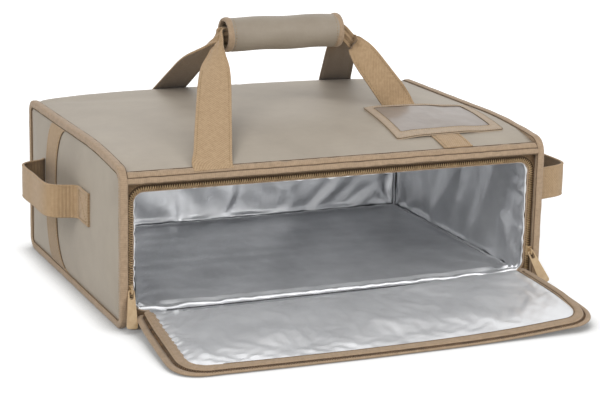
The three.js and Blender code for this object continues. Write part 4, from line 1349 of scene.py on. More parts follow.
    def lip(self) -> None:
        """The foil's rolled edge, which meets the zip tape all round the opening."""
        path = BAG.zip_path(3 * MM, 20 * MM)
        roll = rounded_profile((1.3 * MM, 2.2 * MM), (-6.2 * MM, BAG.y(11.2 * MM)), 2.0, 14)
        piece = sweep_piece("opening_foil_lip", path, roll, Plane.FRONT, False)
        points = coordinates(piece)
        shift = 0.7 * MM * lattice(*(ripple(points, 11 * MM, seed) for seed in (41, 42, 43)))
        shift[:, 2] += 1.5 * MM * ramp(points[:, 2], 144 * MM, 10 * MM)
        set_coordinates(piece, points + shift)
        dress(piece, SIDE_FOIL)

    def sheet(self, name: str, points: Points, how: Settling, finish: Finish, nodes: tuple[str, ...]) -> Piece:
        """Makes one sheet, lets it settle and dresses it.

        Args:
            name: The piece's name.
            points: Rows and columns of points.
            how: How it settles.
            finish: Its finish.
            nodes: The solids that it stands for.

        Returns:
            The piece.
        """
        rows, cols = points.shape[:2]
        held = np.zeros((rows, cols))
        for line in (0, 1, 2, -1, -2, -3):
            held[line], held[:, line] = 1.0, 1.0
        piece = grid_piece(name, points)
        how.apply(piece, held)
        dress(piece, finish, stands_for=nodes)
        return piece


@dataclass(frozen=True)
class Draw:
    """How far one layer of the flap is drawn: ahead at its front edge, and aside at its right edge."""

    ahead: float
    aside: float


@dataclass
class FrontFlap:
    """The zip flap that lies folded down in front: rim, coil, tape, foil pad and outer fabric."""

    half: float = 250.5 * MM
    reach: float = 163.6 * MM
    front_radius: float = 34 * MM
    hinge_radius: float = 9 * MM
    bow: float = 5 * MM
    hinge_edge: float = 1.2 * MM
    border: float = 14 * MM
    hinge_rise: float = 10 * MM
    rim_draw: Draw = Draw(15 * MM, 0.0)
    face_draw: Draw = Draw(15 * MM, 7 * MM)
    foil_draw: Draw = Draw(15 * MM, 3 * MM)
    flare: float = 0.055
    right_lift: float = 10.5 * MM
    corner_lift: float = 8 * MM
    left_lift: float = 4 * MM
    rim_width: float = 6.5 * MM
    front_start: float = 0.55  # The share of the way to the front edge where the front part begins.
    front_run: float = 0.4
    squash: float = 0.28
    swell: Settling = Settling(pressure=0.4, slack=0.01, bond=0.1, bending=0.5, limit=3 * MM)

    def edge(self, step: float, narrow: float = 0.0, past: float = 0.0) -> Points:
        """The flap's outline from the left hinge corner round the front.

        Args:
            step: Distance between points.
            narrow: How far in the two sides stand.
            past: How far its ends run back past the hinge.

        Returns:
            Rows of X and Y.
        """
        back, front = BAG.y(past - self.hinge_edge), BAG.y(self.bow - self.reach)
        half, turn = self.half - narrow, self.front_radius
        bow = []
        for t in np.linspace(0, 1, 22)[1:-1]:
            x = (1 - 2 * t) * -(half - turn)
            bow.append((x, front - 4 * t * (1 - t) * self.bow, 0.0))
        corners = [(-half + self.hinge_radius, back, 0.0), (-half, back, self.hinge_radius), (-half, front, turn),
                   *bow, (half, front, turn), (half, back, self.hinge_radius),
                   (half - self.hinge_radius, back, 0.0)]
        return rounded_path(corners, step, closed=False)

    def lift(self, x: Points, share: Any) -> Points:
        """How far the flap stands off the floor at its right side and at its left hinge corner.

        Args:
            x: Where across the flap.
            share: Share of the way from the hinge to the front edge.

        Returns:
            The heights.
        """
        side = ramp(x, -60 * MM, 310 * MM)
        right = self.right_lift * side**1.5 * (1 - share**3) * (0.8 + 0.5 * share)
        right += self.corner_lift * ramp(x, 70 * MM, 180 * MM) ** 2 * share**4
        left = self.left_lift * ramp(-x, 190 * MM, 60 * MM) * np.clip(1 - share / 0.3, 0, 1) ** 2
        return right + left

    def lay(self, piece: Piece, draw: Draw) -> Piece:
        """Tilts a piece with the flap, whose hinge and right side stand a little above the floor.

        Args:
            piece: The piece, made as if the flap lay level.
            draw: How far its layer is drawn.

        Returns:
            The piece.
        """
        points = coordinates(piece)
        share = ramp(-points[:, 1], -BAG.y(0), self.reach)
        ahead = ramp(share, self.front_start, self.front_run)
        ahead = ahead**2 * (3 - 2 * ahead)
        x = points[:, 0]
        points[:, 2] *= 1 - self.squash * ahead
        points[:, 2] += self.hinge_rise * (1 - share) + self.lift(x, share)
        points[:, 0] += self.flare * share * np.minimum(x, 0)
        points[:, 0] += draw.aside * ramp(x, 150 * MM, 80 * MM) * (1 - ahead)
        points[:, 1] -= draw.ahead * ahead
        set_coordinates(piece, points)
        return piece

    def build(self) -> None:
        """Makes and dresses the flap's pieces."""
        edge = self.edge(4 * MM)
        rim = np.array([(16, 0.3), (1.6, 0.2), (0.4, 0.6), (-0.1, 1.6), (-0.2, 2.7), (0.1, 3.9), (1.0, 4.8),
                        (2.6, 5.2), (4.4, 5.0), (6, 4.3), (7.4, 3.6), (16, 3.3)]) * MM
        self.band("flap_bound_rim", edge, rim, self.rim_draw, TAPE, ("flap_rim_binding",))
        long, edge = self.edge(4 * MM, self.rim_width, 6 * MM), self.edge(4 * MM, self.rim_width)
        tape = np.array([(14, 6.6), (5, 6.5), (3.9, 6.6), (3.3, 7.0), (3.6, 7.5), (4.4, 7.9), (6.4, 8.3),
                         (9.5, 8.6), (12.6, 8.6), (15.5, 7.6)]) * MM
        self.band("flap_zip_border", long, tape, self.face_draw, TAPE, ("flap_zip_tape",))
        # The flap's coil takes the darker copy as painted shade.
        coil = coil_piece("flap_zip_coil", edge, Plane.FLOOR, (2.0 * MM, 5.5 * MM), (1.2 * MM, 1.1 * MM))
        dress(self.lay(coil, self.foil_draw), SHADED_COIL, "front_flap", ("flap_zip_chain",))
        # A dark bed of painted shade behind the flap's coil, seen between its turns.
        bed = rounded_profile((1.7 * MM, 1.5 * MM), (3.9 * MM, 5.5 * MM), 3, 12)
        self.band("flap_tape_seam", edge, bed, self.foil_draw, SHADE_BED)
        # A dark cord of painted shade along the inner edge of the flap's tape.
        inner = edge[edge[:, 0] > -0.2]
        thread = rounded_profile((0.45 * MM, 0.45 * MM), (13.4 * MM, 8.6 * MM), 2, 8)
        self.band("flap_foil_seam", inner, thread, self.face_draw, SHADE_CORD)
        stitches = Stitching(thread=0.8 * MM)
        normals = left_normals(edge, False)
        for inset, height in ((5.6 * MM, 8.1 * MM), (11.5 * MM, 8.65 * MM)):
            stitches.row(in_plane(Plane.FLOOR, edge + normals * inset, height), (0, 0, 1))
        dress(self.lay(stitches.piece("flap_stitches"), self.face_draw), THREAD, "front_flap")
        self.pad()
        self.under()
        self.folds()

    def band(
        self, name: str, path: Points, profile: Points, draw: Draw, finish: Finish, nodes: tuple[str, ...] = ()
    ) -> None:
        """Sweeps a tape or a seam along the flap, lays it and dresses it.

        Args:
            name: The piece's name.
            path: Its line, as rows of X and Y.
            profile: Its closed profile.
            draw: How far its layer is drawn.
            finish: Its finish.
            nodes: The solids that it stands for; tapes have these, and are a little uneven.
        """
        piece = sweep_piece(name, path, profile, Plane.FLOOR, False, 0.02 if nodes else 0.0)
        dress(self.lay(piece, draw), finish, "front_flap", nodes)

    def rows(self, inset: float, ys: Points, columns: int, narrow: float = 0.0) -> Points:
        """Points in rows across the flap, kept inside its outline.

        Args:
            inset: Distance inside the flap's outline.
            ys: Shares of the way from the hinge edge to the front edge.
            columns: Points in each row.
            narrow: How much further in the two sides stand.

        Returns:
            Rows and columns of X and Y.
        """
        back, front = BAG.y(-self.hinge_edge) - 1 * MM, BAG.y(self.bow - self.reach) + inset
        turn, half = self.front_radius - inset, self.half - inset - narrow
        shares = np.linspace(-1, 1, columns)
        made = np.empty((len(ys), columns, 2))
        for r, share in enumerate(ys):
            y = back + (front - back) * share
            into = np.clip(1 - (y - front) / turn, 0, 1)
            wide = half - turn * (1 - math.sqrt(1 - into**2))
            made[r, :, 0] = shares * wide
            bow = self.bow * np.clip(1 - (made[r, :, 0] / (half - turn)) ** 2, 0, 1)
            made[r, :, 1] = y - bow * share**3
        return made

    def pad(self) -> None:
        """The foil face over the flap's foam, gathered where the tape holds it."""
        shares = np.concatenate([[0, 0.012], np.linspace(0.03, 0.97, 48), [0.988, 1.0]])
        flat = self.rows(self.border - 1 * MM, shares, 130, self.rim_width)
        x, y, ends = flat[..., 0], flat[..., 1], flat[:, :1, 1]
        edge = np.maximum(lattice(ends[0] - ends, ends - ends[-1], x[:, -1:] - np.abs(x)).min(axis=-1), 0)
        run = lattice(x, y, 0.0)
        gather = ripple(run * [0.5, 1, 1], 9 * MM, 21) * np.exp(-edge / (11 * MM)) * ramp(edge, 0, 3 * MM)
        drawn = 0.5 + 1.8 * ramp(-x, -20 * MM, 220 * MM)
        z = 7.6 * MM + 2.4 * MM * (1 - np.exp(-edge / (9 * MM))) + 1.1 * MM * drawn * gather
        z += 1.0 * MM * ripple(run * [0.6, 1, 1], 62 * MM, 22) * ramp(edge, 0, 20 * MM)
        piece = grid_piece("flap_foil_pad", lattice(x, y, z)[::-1])
        self.swell.apply(piece, np.where(edge > 2 * MM, 0.0, 1.0)[::-1])
        dress(self.lay(piece, self.foil_draw), FLAP_FOIL, "front_flap", ("flap_lining", "flap_foam"))

    def under(self) -> None:
        """The outer fabric, which lies on the floor while the flap is open."""
        flat = self.rows(9 * MM, np.linspace(0, 1, 26), 60)
        piece = grid_piece("flap_outer_fabric", in_plane(Plane.FLOOR, flat, 0.4 * MM))
        self.lay(piece, self.rim_draw)
        dress(piece, FABRIC, "front_flap", ("flap_outer_panel",))

    def folds(self) -> None:
        """The outer strip that joins the flap to the base, and the foil tucked into the hinge above it."""
        half = self.half - self.hinge_radius
        outer = smooth_line(np.array([(8, 1.4), (3, 1.8), (-1, 5.5), (-4, 10.6), (-8, 12.2), (-18, 12.4)]) * MM, 6)
        tuck = smooth_line(np.array([(10, 13), (9, 8), (6, 4.5), (2.5, 4), (0, 7), (-1.8, 12.5), (-4, 17)]) * MM, 6)
        for name, line, finish, nodes in (
            ("hinge_fold", outer, TAPE, ("hinge_tape",)),
            ("hinge_foil_tuck", tuck, FOIL, ()),
        ):
            points = lattice(np.linspace(-half, half, 110), BAG.y(0) + line[:, None, 0], line[:, None, 1])
            points[..., 2] += 0.5 * MM * ripple(points, 20 * MM, len(name))
            piece = grid_piece(name, points[::-1])
            thick = piece.modifiers.new("sheet_thickness", "SOLIDIFY")
            thick.thickness = 0.8 * MM
            thick.offset = 0
            dress(piece, finish, "", nodes)
            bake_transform(piece)


@dataclass
class CarryStraps:
    """The two webbing straps that rise from the top and meet in the grip."""

    skin: Skin
    width: float = 48 * MM
    neck: float = 18 * MM
    thickness: float = 2.2 * MM
    lift: float = 1.2 * MM
    pitch: float = 3.6 * MM
    left_x: float = -156 * MM
    rear_left_x: float = -86 * MM
    rear_right_x: float = 156 * MM
    pocket_end: float = 170 * MM
    bow: float = 1.5 * MM
    lines: list[Points] = field(default_factory=list)

    def on_top(self, x: float, depth: float, sunk: float = 0.0) -> Points:
        """A point on the padded top, or pressed into it."""
        return self.skin.land(np.array([[x, BAG.y(depth), BAG.above]]), (0, 0, -1), self.lift - sunk)[0]

    def on_fold(self, x: float, degrees: float) -> Points:
        """A point round the fold at the top of the back."""
        way = np.array([0, math.sin(math.radians(degrees)), math.cos(math.radians(degrees))])
        centre = np.array([x, BAG.y(BAG.depth) - BAG.fold, BAG.rear_height - BAG.fold])
        return self.skin.land((centre + way * 0.05)[None, :], tuple(-way), self.lift)[0]

    def on_back(self, x: float, drop: float) -> Points:
        """A point on the padded back, below the fold."""
        z = BAG.rear_height - BAG.fold - drop
        return self.skin.land(np.array([[x, BAG.behind, z]]), (0, -1, 0), self.lift)[0]

    def flat(self, point: Points, across: Points) -> Points:
        """A station where the webbing lies flat."""
        return np.concatenate([point, across, [self.width]])

    def leg(self, side: int, foot: Points, across: Points, wide: float = 1.0) -> list[Points]:
        """The stations of a straight leg from where it leaves the bag to the grip's mouth.

        Args:
            side: -1 for a left leg and 1 for a right one.
            foot: Where the leg leaves the bag.
            across: Unit vector across the webbing at the foot.
            wide: The leg's width, as a share of the usual one.

        Returns:
            Rows of a point, an across vector and a width.
        """
        corner = np.array([side * (BAG.grip_half + 8 * MM), 0, BAG.grip_z])
        run = foot - corner
        plan = ((0.94, 0.94, 0.0), (0.76, 0.91, 0.0), (0.58, 0.875, 0.0), (0.43, 0.845, 0.0), (0.33, 0.79, 0.07),
                (0.25, 0.69, 0.22), (0.17, 0.5, 0.5))
        bow = np.array([side * self.bow, 0, 0])
        rows = [np.concatenate([corner + share * run + bow * math.sin(math.pi * share**0.7),
                                across + turn * DOWN, [self.width * width * wide]]) for share, width, turn in plan]
        neck = corner + 20 * MM * run / np.linalg.norm(run)
        return rows + [np.concatenate([neck, across + DOWN, [self.neck]])]

    def through(self, y: float) -> list[Points]:
        """The stations inside the grip, from its left mouth to its right one."""
        xs = np.array([-76.5, -70, -35, 0, 35, 70, 76.5]) * MM
        return [np.concatenate([[x, y, BAG.grip_z], DOWN, [self.neck]]) for x in xs]

    def strap(self, name: str, rows: list[Points]) -> Piece:
        """A strap through its stations, with neighbouring across vectors turned alike."""
        for before, row in zip(rows, rows[1:]):
            if float(before[3:6] @ row[3:6]) < 0:
                row[3:6] *= -1
        line = smooth_line(np.array(rows), 7)
        self.lines.append(line)
        return ribbon_piece(name, line[:, :3], line[:, 3:6], line[:, 6], self.width, self.thickness, 1.6 * MM)

    def build(self) -> None:
        """Makes and dresses both straps and their stitches."""
        right, left = np.array([1.0, 0, 0]), np.array([-1.0, 0, 0])
        foot = self.on_top(self.left_x, 10 * MM)
        under = foot - [0, 6 * MM, 4 * MM]
        front = [self.flat(under, left), self.flat(foot, left), *self.leg(-1, foot, left)]
        front += self.through(-self.pitch)
        foot = self.on_top(BAG.strap_x + 5 * MM, self.pocket_end + 3 * MM)
        front += self.leg(1, foot, right, 0.9)[::-1]
        sewn = ((170, 0.2, 0.88), (164, 1.0, 0.88), (156, 1.6, 0.87), (148, 1.6, 0.86), (130, 1.6, 0.84),
                (105, 1.6, 0.82), (80, 1.4, 0.8), (50, 0.8, 0.79), (30, 0, 0.79), (18, 0, 0.79), (10, 0, 0.79))
        x = BAG.strap_x + 4 * MM
        front += [np.concatenate([self.on_top(x, d * MM, sunk * MM), right, [self.width * wide]])
                  for d, sunk, wide in sewn]
        dress(self.strap("front_carry_webbing", front), WEBBING, stands_for=("front_carry_strap",))
        rear: list[Points] = []
        for side, x, across in ((-1, self.rear_left_x, left), (1, self.rear_right_x, right)):
            sewn = [self.flat(self.on_back(x, d * MM), across) for d in (90, 60, 30, 6)]
            sewn += [self.flat(self.on_fold(x, a), across) for a in (72, 54, 40)]
            legs = sewn + self.leg(side, self.on_fold(x, 34), across)
            rear += legs + self.through(self.pitch) if side < 0 else legs[::-1]
        dress(self.strap("rear_carry_webbing", rear), WEBBING, stands_for=("rear_carry_strap",))
        self.stitch()

    def stitch(self) -> None:
        """Box stitches where the rear strap is sewn to the back, and rows along both edges of the front strap where
        it is sewn down.
        """
        stitches = Stitching()
        half = self.width / 2 - 4 * MM
        up = self.thickness / 2 + 0.1 * MM
        for first, last in ((8, 46), (140, 250)):
            self.edge_rows(stitches, self.lines[0][first:last])
        for x in (self.rear_left_x, self.rear_right_x):
            spots = [(-half, 86 * MM), (half, 86 * MM), (half, 50 * MM), (-half, 50 * MM)]
            stitches.box(np.array([self.on_back(x + a, d) + [0, up, 0] for a, d in spots]), (0, 1, 0))
        dress(stitches.piece("strap_stitches"), THREAD)

    def edge_rows(self, stitches: Stitching, line: Points) -> None:
        """Adds a row of stitches along both edges of a strap.

        Args:
            stitches: The stitches to add to.
            line: The strap's points, across vectors and widths.
        """
        across, normal = strap_axes(line[:, :3], line[:, 3:6])
        normal *= np.sign(normal @ np.array([0, -0.3, 1.0]))[:, None]
        middle = line[:, :3] + normal * (self.thickness / 2 - 0.1 * MM)
        for edge in (-1, 1):
            stitches.row(middle + across * (edge * (line[:, 6:] / 2 - 3.4 * MM)), normal)


@dataclass
class Grip:
    """The padded wrap that holds the straps together, and its front half, which opens."""

    z: float = BAG.grip_z
    half: float = BAG.grip_half
    radius: float = 20 * MM
    bore: float = 16.5 * MM
    end_band: float = 7 * MM

    def build(self) -> None:
        """Makes and dresses the two halves, their end bands and stitches."""
        for name, start, stop, body, nodes in (
            ("grip_rear_pad", -86.0, 64.0, "bag_body", ("grip_wrap",)),
            ("grip_front_pad", 60.0, 268.0, "", ("grip_wrap_flap",)),
        ):
            pad = self.shell(name, start, stop, -self.half, self.half, 0.0)
            # The pads take the darker fabric copy as painted shade.
            dress(pad, SHADED_GRIP_FABRIC, body, nodes)
            ends = [self.shell(f"{name}_end_{word}", start, stop, x - 0.8 * MM, x + self.end_band, 0.9 * MM)
                    for word, x in (("left", -self.half), ("right", self.half - self.end_band + 0.8 * MM))]
            for end in ends:
                dress(end, TAPE, body)
            if not body:
                for piece in (pad, *ends):
                    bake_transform(piece)
        for node in ("grip_hook_tape", "grip_loop_tape"):
            coat(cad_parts[node], CLOSURE)
        stitches = Stitching()
        for x in (-self.half + self.end_band + 1.5 * MM, self.half - self.end_band - 1.5 * MM):
            angles = np.radians(np.linspace(110, 262, 40))
            out = lattice(0.0, np.cos(angles), np.sin(angles))
            stitches.row(np.array([x, 0, self.z]) + out * (self.radius + 1.0 * MM), out)
        dress(stitches.piece("grip_stitches"), THREAD, "grip_cover")

    def shell(self, name: str, start: float, stop: float, x0: float, x1: float, extra: float) -> Piece:
        """A curved pad round the straps.

        Args:
            name: The piece's name.
            start: Angle of its first edge, in degrees from the rear, rising over the top.
            stop: Angle of its last edge.
            x0: Its left end.
            x1: Its right end.
            extra: How far it stands off the pads, for a band that binds them.

        Returns:
            The piece, closed.
        """
        angles = np.radians(np.linspace(start, stop, max(10, round((stop - start) / 6))))
        share = np.linspace(0, 1, len(angles))
        xs = np.linspace(x0, x1, max(6, round((x1 - x0) / (4 * MM))))
        ends = np.minimum(xs - x0, x1 - xs)
        soft = 1 - 0.75 * np.exp(-ends / (1.6 * MM))
        edge = 1 - 0.6 * np.exp(-np.minimum(share, 1 - share) * len(angles) / 1.2)
        middle, wall = (self.radius + self.bore) / 2, (self.radius - self.bore) / 2
        puff = wall * (soft[:, None] * edge[None, :]) + extra
        wave = 0.5 * MM * np.sin(xs[:, None] * 90 + angles[None, :] * 3) if extra == 0 else 0.0
        outer, inner = middle + puff + 0.6 * MM + wave, middle - puff * 0.9
        rings = []
        for radius, order in ((outer, slice(None)), (inner, slice(None, None, -1))):
            ring = lattice(xs[:, None], radius * np.cos(angles), self.z + radius * np.sin(angles))
            rings.append(ring[:, order])
        return face_out(grid_piece(name, np.concatenate(rings, axis=1), wrap=True, capped=True))


@dataclass(frozen=True)
class LoopPlan:
    """Where one side's loop is sewn: its front end, front tab, bulge, rear tab and height."""

    start: float
    front_tab: float
    bulge: float
    rear_tab: float
    height: float


@dataclass
class SideHandles:
    """The webbing loop and the upright strip on each side."""

    panels: dict[Side, Piece]
    left: LoopPlan = LoopPlan(108 * MM, 42 * MM, 35 * MM, 3 * MM, 114 * MM)
    right: LoopPlan = LoopPlan(9 * MM, 4 * MM, 47 * MM, 42 * MM, 126 * MM)
    width: float = 40 * MM
    span: float = 150 * MM
    turn: float = 16 * MM
    web: float = 3 * MM
    strip: float = 46 * MM
    flare: float = 34 * MM
    flare_rise: float = 48 * MM

    def build(self) -> None:
        """Makes and dresses both strips and loops and their stitches."""
        stitches = Stitching()
        for side, plan in ((Side.LEFT, self.left), (Side.RIGHT, self.right)):
            word = side.word
            rear = plan.start + plan.front_tab + self.span - self.turn / 2
            strip = self.strip_piece(side, rear, stitches)
            dress(strip, WEBBING, stands_for=(f"{word}_side_strip",))
            skin = Skin(self.panels[side], strip)
            dress(self.loop_piece(side, plan, skin, stitches), WEBBING, stands_for=(f"{word}_side_handle",))
        dress(stitches.piece("side_handle_stitches"), THREAD)

    def strip_piece(self, side: Side, rear: float, stitches: Stitching) -> Piece:
        """The upright strip, whose front edge flares at both ends under a curved seam."""
        ahead = rear - self.strip
        shares = np.linspace(0, 1, 56)
        span = BAG.front_height - 2 * BAG.seam
        near = np.minimum(shares, 1 - shares) * span
        t = 1 - np.sqrt(np.clip(near / self.flare_rise, 0, 1))
        fronts = ahead - self.flare * t**2
        across = np.array([0, 0.012, 0.04, 0.09, 0.2, 0.35, 0.5, 0.65, 0.8, 0.91, 0.96, 0.988, 1])
        lift = np.array([-1.4, 0.9, 1.5, 1.2, 1.2, 1.2, 1.2, 1.2, 1.2, 1.2, 1.4, 0.9, -1.4]) * MM
        rears = rear - self.flare * t**2 * np.where(shares > 0.5, 0.6, 0.35)
        depth = fronts[:, None] + (rears - fronts)[:, None] * across[None, :]
        low, high = BAG.seam - 0.2 * MM, BAG.edge_top(depth) - BAG.seam + 0.2 * MM
        points = lattice(side.value * BAG.beside, BAG.y(0) + depth, low + (high - low) * shares[:, None])
        points = Skin(self.panels[side]).land(points, (-side.value, 0, 0), np.broadcast_to(lift, depth.shape))
        stitches.row(points[3:-3, 3], (side.value, 0, 0))
        stitches.row(points[3:-3, 9], (side.value, 0, 0))
        word = side.word
        # A dark cord of painted shade along the strip's front edge.
        edge = points[1:-1, 0] + [side.value * 1.9 * MM, 0, 0]
        dress(tube_piece(f"{word}_panel_seam", edge, 0.65 * MM), SHADE_CORD)
        uv = lattice(depth, points[..., 2])
        order = slice(None, None, side.value)
        return grid_piece(f"{word}_upright_webbing", points[:, order], uv[:, order])

    def loop_piece(self, side: Side, plan: LoopPlan, skin: Skin, stitches: Stitching) -> Piece:
        """The loop: a sewn tab, a bend outward, the free run and the same again."""
        rise = [(self.turn * a, plan.bulge * b) for a, b in ((0.3, 0.2), (0.75, 0.72), (1.4, 0.96))]
        rear = plan.front_tab + self.span
        run = np.array([(0, 0), (plan.front_tab / 2, 0), (plan.front_tab, 0),
                        *((plan.front_tab + d, out) for d, out in rise),
                        (plan.front_tab + self.span / 2, plan.bulge),
                        *((rear - d, out) for d, out in rise[::-1]),
                        (rear, 0), (rear + plan.rear_tab / 2, 0), (rear + plan.rear_tab, 0)])
        spots = lattice(side.value * BAG.beside, BAG.y(0) + plan.start + run[:, 0], plan.height)
        sewn = skin.land(spots, (-side.value, 0, 0), self.web / 2)
        free = side.value * (BAG.half_width + 2 * MM + run[:, 1])
        spots[:, 0] = np.where(run[:, 1] > 0, free, sewn[:, 0])
        line = smooth_line(spots, 26)
        length = run_along(line)
        for bend in (plan.front_tab + 16 * MM, length[-1] - plan.rear_tab - 16 * MM):
            fade = bell(length, bend, 15 * MM)
            line[:, 0] += side.value * 0.85 * MM * fade * np.sin(2 * math.pi * length / (4.4 * MM))
        piece = ribbon_piece(
            f"{side.word}_loop_webbing", line, np.tile([0, 0, 1.0], (len(line), 1)),
            np.full(len(line), self.width), self.width, self.web, 0.0)
        tall = self.width / 2 - 4 * MM
        for near, far in ((4 * MM, plan.front_tab - 6 * MM), (rear + 6 * MM, rear + plan.rear_tab - 4 * MM)):
            if far - near < 10 * MM:
                continue
            corners = np.array([(side.value * BAG.beside, BAG.y(0) + plan.start + d, plan.height + h)
                                for d, h in ((near, -tall), (far, -tall), (far, tall), (near, tall))])
            stitches.box(skin.land(corners, (-side.value, 0, 0), self.web + 0.2 * MM), (side.value, 0, 0))
        return piece


@dataclass
class LabelPocket:
    """The clear pocket on the top: a bound frame and its window, left bare."""

    skin: Skin
    left: float = 95 * MM
    width: float = 146 * MM
    start: float = 45.5 * MM
    depth: float = 118 * MM
    side_border: float = 11.5 * MM
    front_border: float = 16.5 * MM
    rear_border: float = 8 * MM
    skew: float = 5 * MM

    def land(self, plan: Points, height: Any) -> Points:
        """Lays points of the pocket on the padded top; the strap under it raises it a little.

        Args:
            plan: Rows of distances from the pocket's front left corner.
            height: Height of each point over the top.

        Returns:
            The points.
        """
        x = self.left + plan[..., 0] + self.skew * (2 * plan[..., 1] / self.depth - 1)
        y = BAG.y(self.start) + plan[..., 1] + self.skew / 2 * (2 * plan[..., 0] / self.width - 1)
        bump = ramp(-np.abs(x - BAG.strap_x), -62 * MM, 34 * MM)
        raised = 1.2 * MM + 2.0 * MM * np.sin(bump * math.pi / 2) ** 2
        return self.skin.land(lattice(x, y, BAG.above), (0, 0, -1), raised + height)

    def build(self) -> None:
        """Makes and dresses the frame, its stitches and the window."""
        corners = [(0.0, 0.0, 1.5 * MM), (self.width, 0.0, 1.5 * MM), (self.width, self.depth, 1.5 * MM),
                   (0.0, self.depth, 1.5 * MM)]
        outer = rounded_path(corners, 4 * MM, closed=True)
        low = np.array([self.side_border, self.front_border])
        size = np.array([self.width, self.depth])
        inner = low + outer / size * (size - low - [self.side_border, self.rear_border])
        share = np.array([-0.01, 0.01, 0.06, 0.14, 0.3, 0.5, 0.7, 0.86, 0.94, 0.99, 1.02])
        height = np.array([-1.5, 0.3, 0.8, 0.6, 0.5, 0.5, 0.5, 0.6, 0.9, 0.4, -0.4]) * MM
        plan = outer[:, None, :] + (inner - outer)[:, None, :] * share[None, :, None]
        points = self.land(plan, np.broadcast_to(height, plan.shape[:2]))
        uv = lattice(share * 14 * MM, run_along(outer)[:, None])
        binding = grid_piece("label_pocket_binding", points[:, ::-1], uv[:, ::-1], loop=True)
        dress(binding, FRAME_TAPE, stands_for=("label_pocket_frame",))
        # Dark cords of painted shade along the pocket frame's edges.
        for name, loop, up in (("outer", outer, 0.3 * MM), ("inner", inner, 0.5 * MM)):
            line = self.land(loop, up)
            dress(tube_piece(f"label_pocket_{name}_seam", np.vstack([line, line[:1]]), 0.4 * MM), SHADE_CORD)
        stitches = Stitching(pitch=3.4 * MM, thread=0.7 * MM)
        for column in (3, 7):
            stitches.row(np.vstack([points[:, column], points[:1, column]]), (0, 0, 1))
        dress(stitches.piece("label_pocket_stitches"), THREAD)
        us = np.linspace(self.side_border - 3 * MM, self.width - self.side_border + 3 * MM, 44)
        vs = np.linspace(self.front_border - 3 * MM, self.depth - self.rear_border + 3 * MM, 34)
        film = self.land(lattice(us, vs[:, None]), 0.1 * MM)
        film[..., 2] += 0.3 * MM * ripple(film, 48 * MM, 12)
        window = grid_piece("label_pocket_film", film)
        dress(window, VINYL, stands_for=("label_window",))


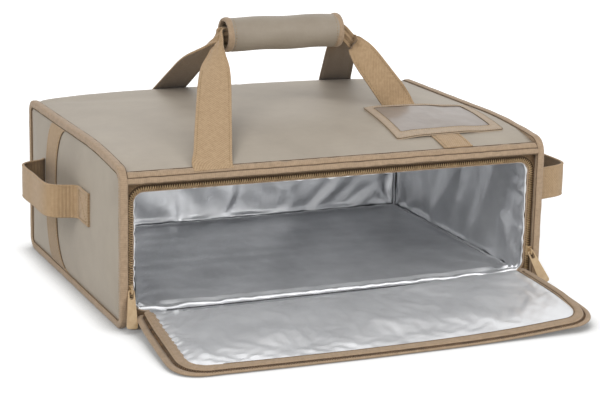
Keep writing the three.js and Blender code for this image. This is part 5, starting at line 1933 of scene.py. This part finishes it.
@dataclass
class Studio:
    """The floor, the light and the camera."""

    azimuth: float = 23.415
    elevation: float = 14.009
    roll: float = 1.246
    lens: float = 112.36
    eye: tuple[float, float, float] = (-0.8782, -2.0967, 0.6531)

    def build(self) -> None:
        """Sets the floor, lights, world and camera."""
        bpy.context.scene.view_settings.view_transform = "Standard"
        self.floor()
        self.world()
        self.lamp("key", (-2.43, -2.3, 2.66), 2.16, 67.0)
        self.lamp("fill", (1.6, -2.1, 1.2), 1.4, 19.0)
        self.lamp("back", (0.3, 1.9, 2.2), 1.4, 10.5)
        self.camera()

    def seen(self, tree: Tree, mirrored: float) -> Node:
        """How much of the backdrop's white is met: all by the camera and through film, less by other light.

        Args:
            tree: The node tree.
            mirrored: The share that reflections meet.

        Returns:
            The node that gives the share.
        """
        path = add_node(tree, "LightPath")
        first = add_node(tree, "Math", {"operation": "MAXIMUM"},
                         {0: path.outputs["Is Camera Ray"], 1: path.outputs["Is Transmission Ray"]})
        return add_node(tree, "Math", {"operation": "MULTIPLY_ADD", 1: mirrored},
                        {0: path.outputs["Is Glossy Ray"], 2: first})

    def floor(self) -> None:
        """A pale paper floor that stays white to the camera and keeps a soft shadow, deepened near the bag by
        painted shadow.
        """
        size = 9.0
        points = np.array([(-size, -size, 0), (size, -size, 0), (size, size, 0), (-size, size, 0)])
        paper = mesh_piece("paper_floor", points, [(0, 1, 2, 3)])
        material = bpy.data.materials.new("paper_floor_matt")
        material.use_nodes = True
        tree = material.node_tree
        shader = tree.nodes["Principled BSDF"]
        place = add_node(tree, "TexCoord").outputs["Object"]
        tooth = add_node(tree, "TexNoise", {"Scale": cells(3), "Detail": 4.0}, {"Vector": place})
        bump = add_node(tree, "Bump", {"Strength": 0.1, "Distance": 0.1 * MM}, {"Height": tooth})
        set_node(tree, shader, {"Base Color": linear("#E6E6E4"), "Roughness": 0.9}, {"Normal": bump})
        # Painted shadow: the glow dims where ambient occlusion finds the bag near, darkening the contact shadow.
        near = add_node(tree, "AmbientOcclusion", {"samples": 8, "Distance": 32 * MM}).outputs["AO"]
        level = add_node(tree, "MapRange", {"From Min": 0.5, "From Max": 0.97, "To Min": 0.3, "To Max": 1.5},
                         {"Value": near})
        glow = add_node(tree, "Emission", None, {"Strength": level})
        middle = add_node(tree, "TexGradient", {"gradient_type": "SPHERICAL"}, {"Vector": place})
        fade = add_node(tree, "MapRange", {"From Min": 0.1, "From Max": 0.5, "To Min": 0.76, "To Max": 0.54},
                        {"Value": middle.outputs[1]})
        share = add_node(tree, "Math", {"operation": "MULTIPLY"},
                         {0: self.seen(tree, 0.4), 1: fade})
        mix = add_node(tree, "MixShader", None,
                       {0: share, 1: shader, 2: glow})
        set_node(tree, tree.nodes["Material Output"], None, {"Surface": mix})
        paper.data.materials.append(material)

    def world(self) -> None:
        """An even pale room, white to the camera."""
        world = bpy.data.worlds.new("pale_room")
        world.use_nodes = True
        tree = world.node_tree
        tree.nodes.clear()
        light, white = (add_node(tree, "Background", {"Color": (1, 1, 1, 1), "Strength": strength})
                        for strength in (0.4, 1.0))
        mix = add_node(tree, "MixShader", None, {0: self.seen(tree, 1.0), 1: light, 2: white})
        add_node(tree, "OutputWorld", None, {"Surface": mix})
        bpy.context.scene.world = world

    def lamp(self, name: str, place: tuple[float, float, float], size: float, power: float) -> None:
        """Adds a soft box that faces the bag."""
        data = bpy.data.lights.new(f"{name}_soft_box", "AREA")
        data.size = size
        data.energy = power
        lamp = bpy.data.objects.new(data.name, data)
        lamp.location = place
        lamp.rotation_euler = (Vector((0, 0, 0.12)) - Vector(place)).to_track_quat("-Z", "Y").to_euler()
        bpy.context.scene.collection.objects.link(lamp)

    def camera(self) -> None:
        """The camera, at the photograph's angle."""
        az, el, roll = (math.radians(a) for a in (self.azimuth, self.elevation, self.roll))
        look = Vector((math.sin(az) * math.cos(el), math.cos(az) * math.cos(el), -math.sin(el)))
        level = Vector((math.cos(az), -math.sin(az), 0))
        upright = level.cross(look)
        right = level * math.cos(roll) + upright * math.sin(roll)
        up = upright * math.cos(roll) - level * math.sin(roll)
        data = bpy.data.cameras.new("photo_camera")
        data.sensor_width = 36.0
        data.lens = self.lens
        camera = bpy.data.objects.new(data.name, data)
        turn = Matrix((right, up, -look)).transposed()
        camera.matrix_world = Matrix.Translation(self.eye) @ turn.to_4x4()
        bpy.context.scene.collection.objects.link(camera)
        bpy.context.scene.camera = camera


def main() -> None:
    """Builds the studio and each sub-assembly."""
    logging.basicConfig(level=logging.INFO, format="%(message)s")
    Studio().build()
    shell = OuterShell()
    shell.build()
    skin = Skin(shell.wrap)
    Bindings().build()
    ZipFrame().build()
    FoilLiner().build()
    FrontFlap().build()
    CarryStraps(skin).build()
    Grip().build()
    SideHandles(shell.panels).build()
    LabelPocket(skin).build()


if __name__ == "__main__":
    main()
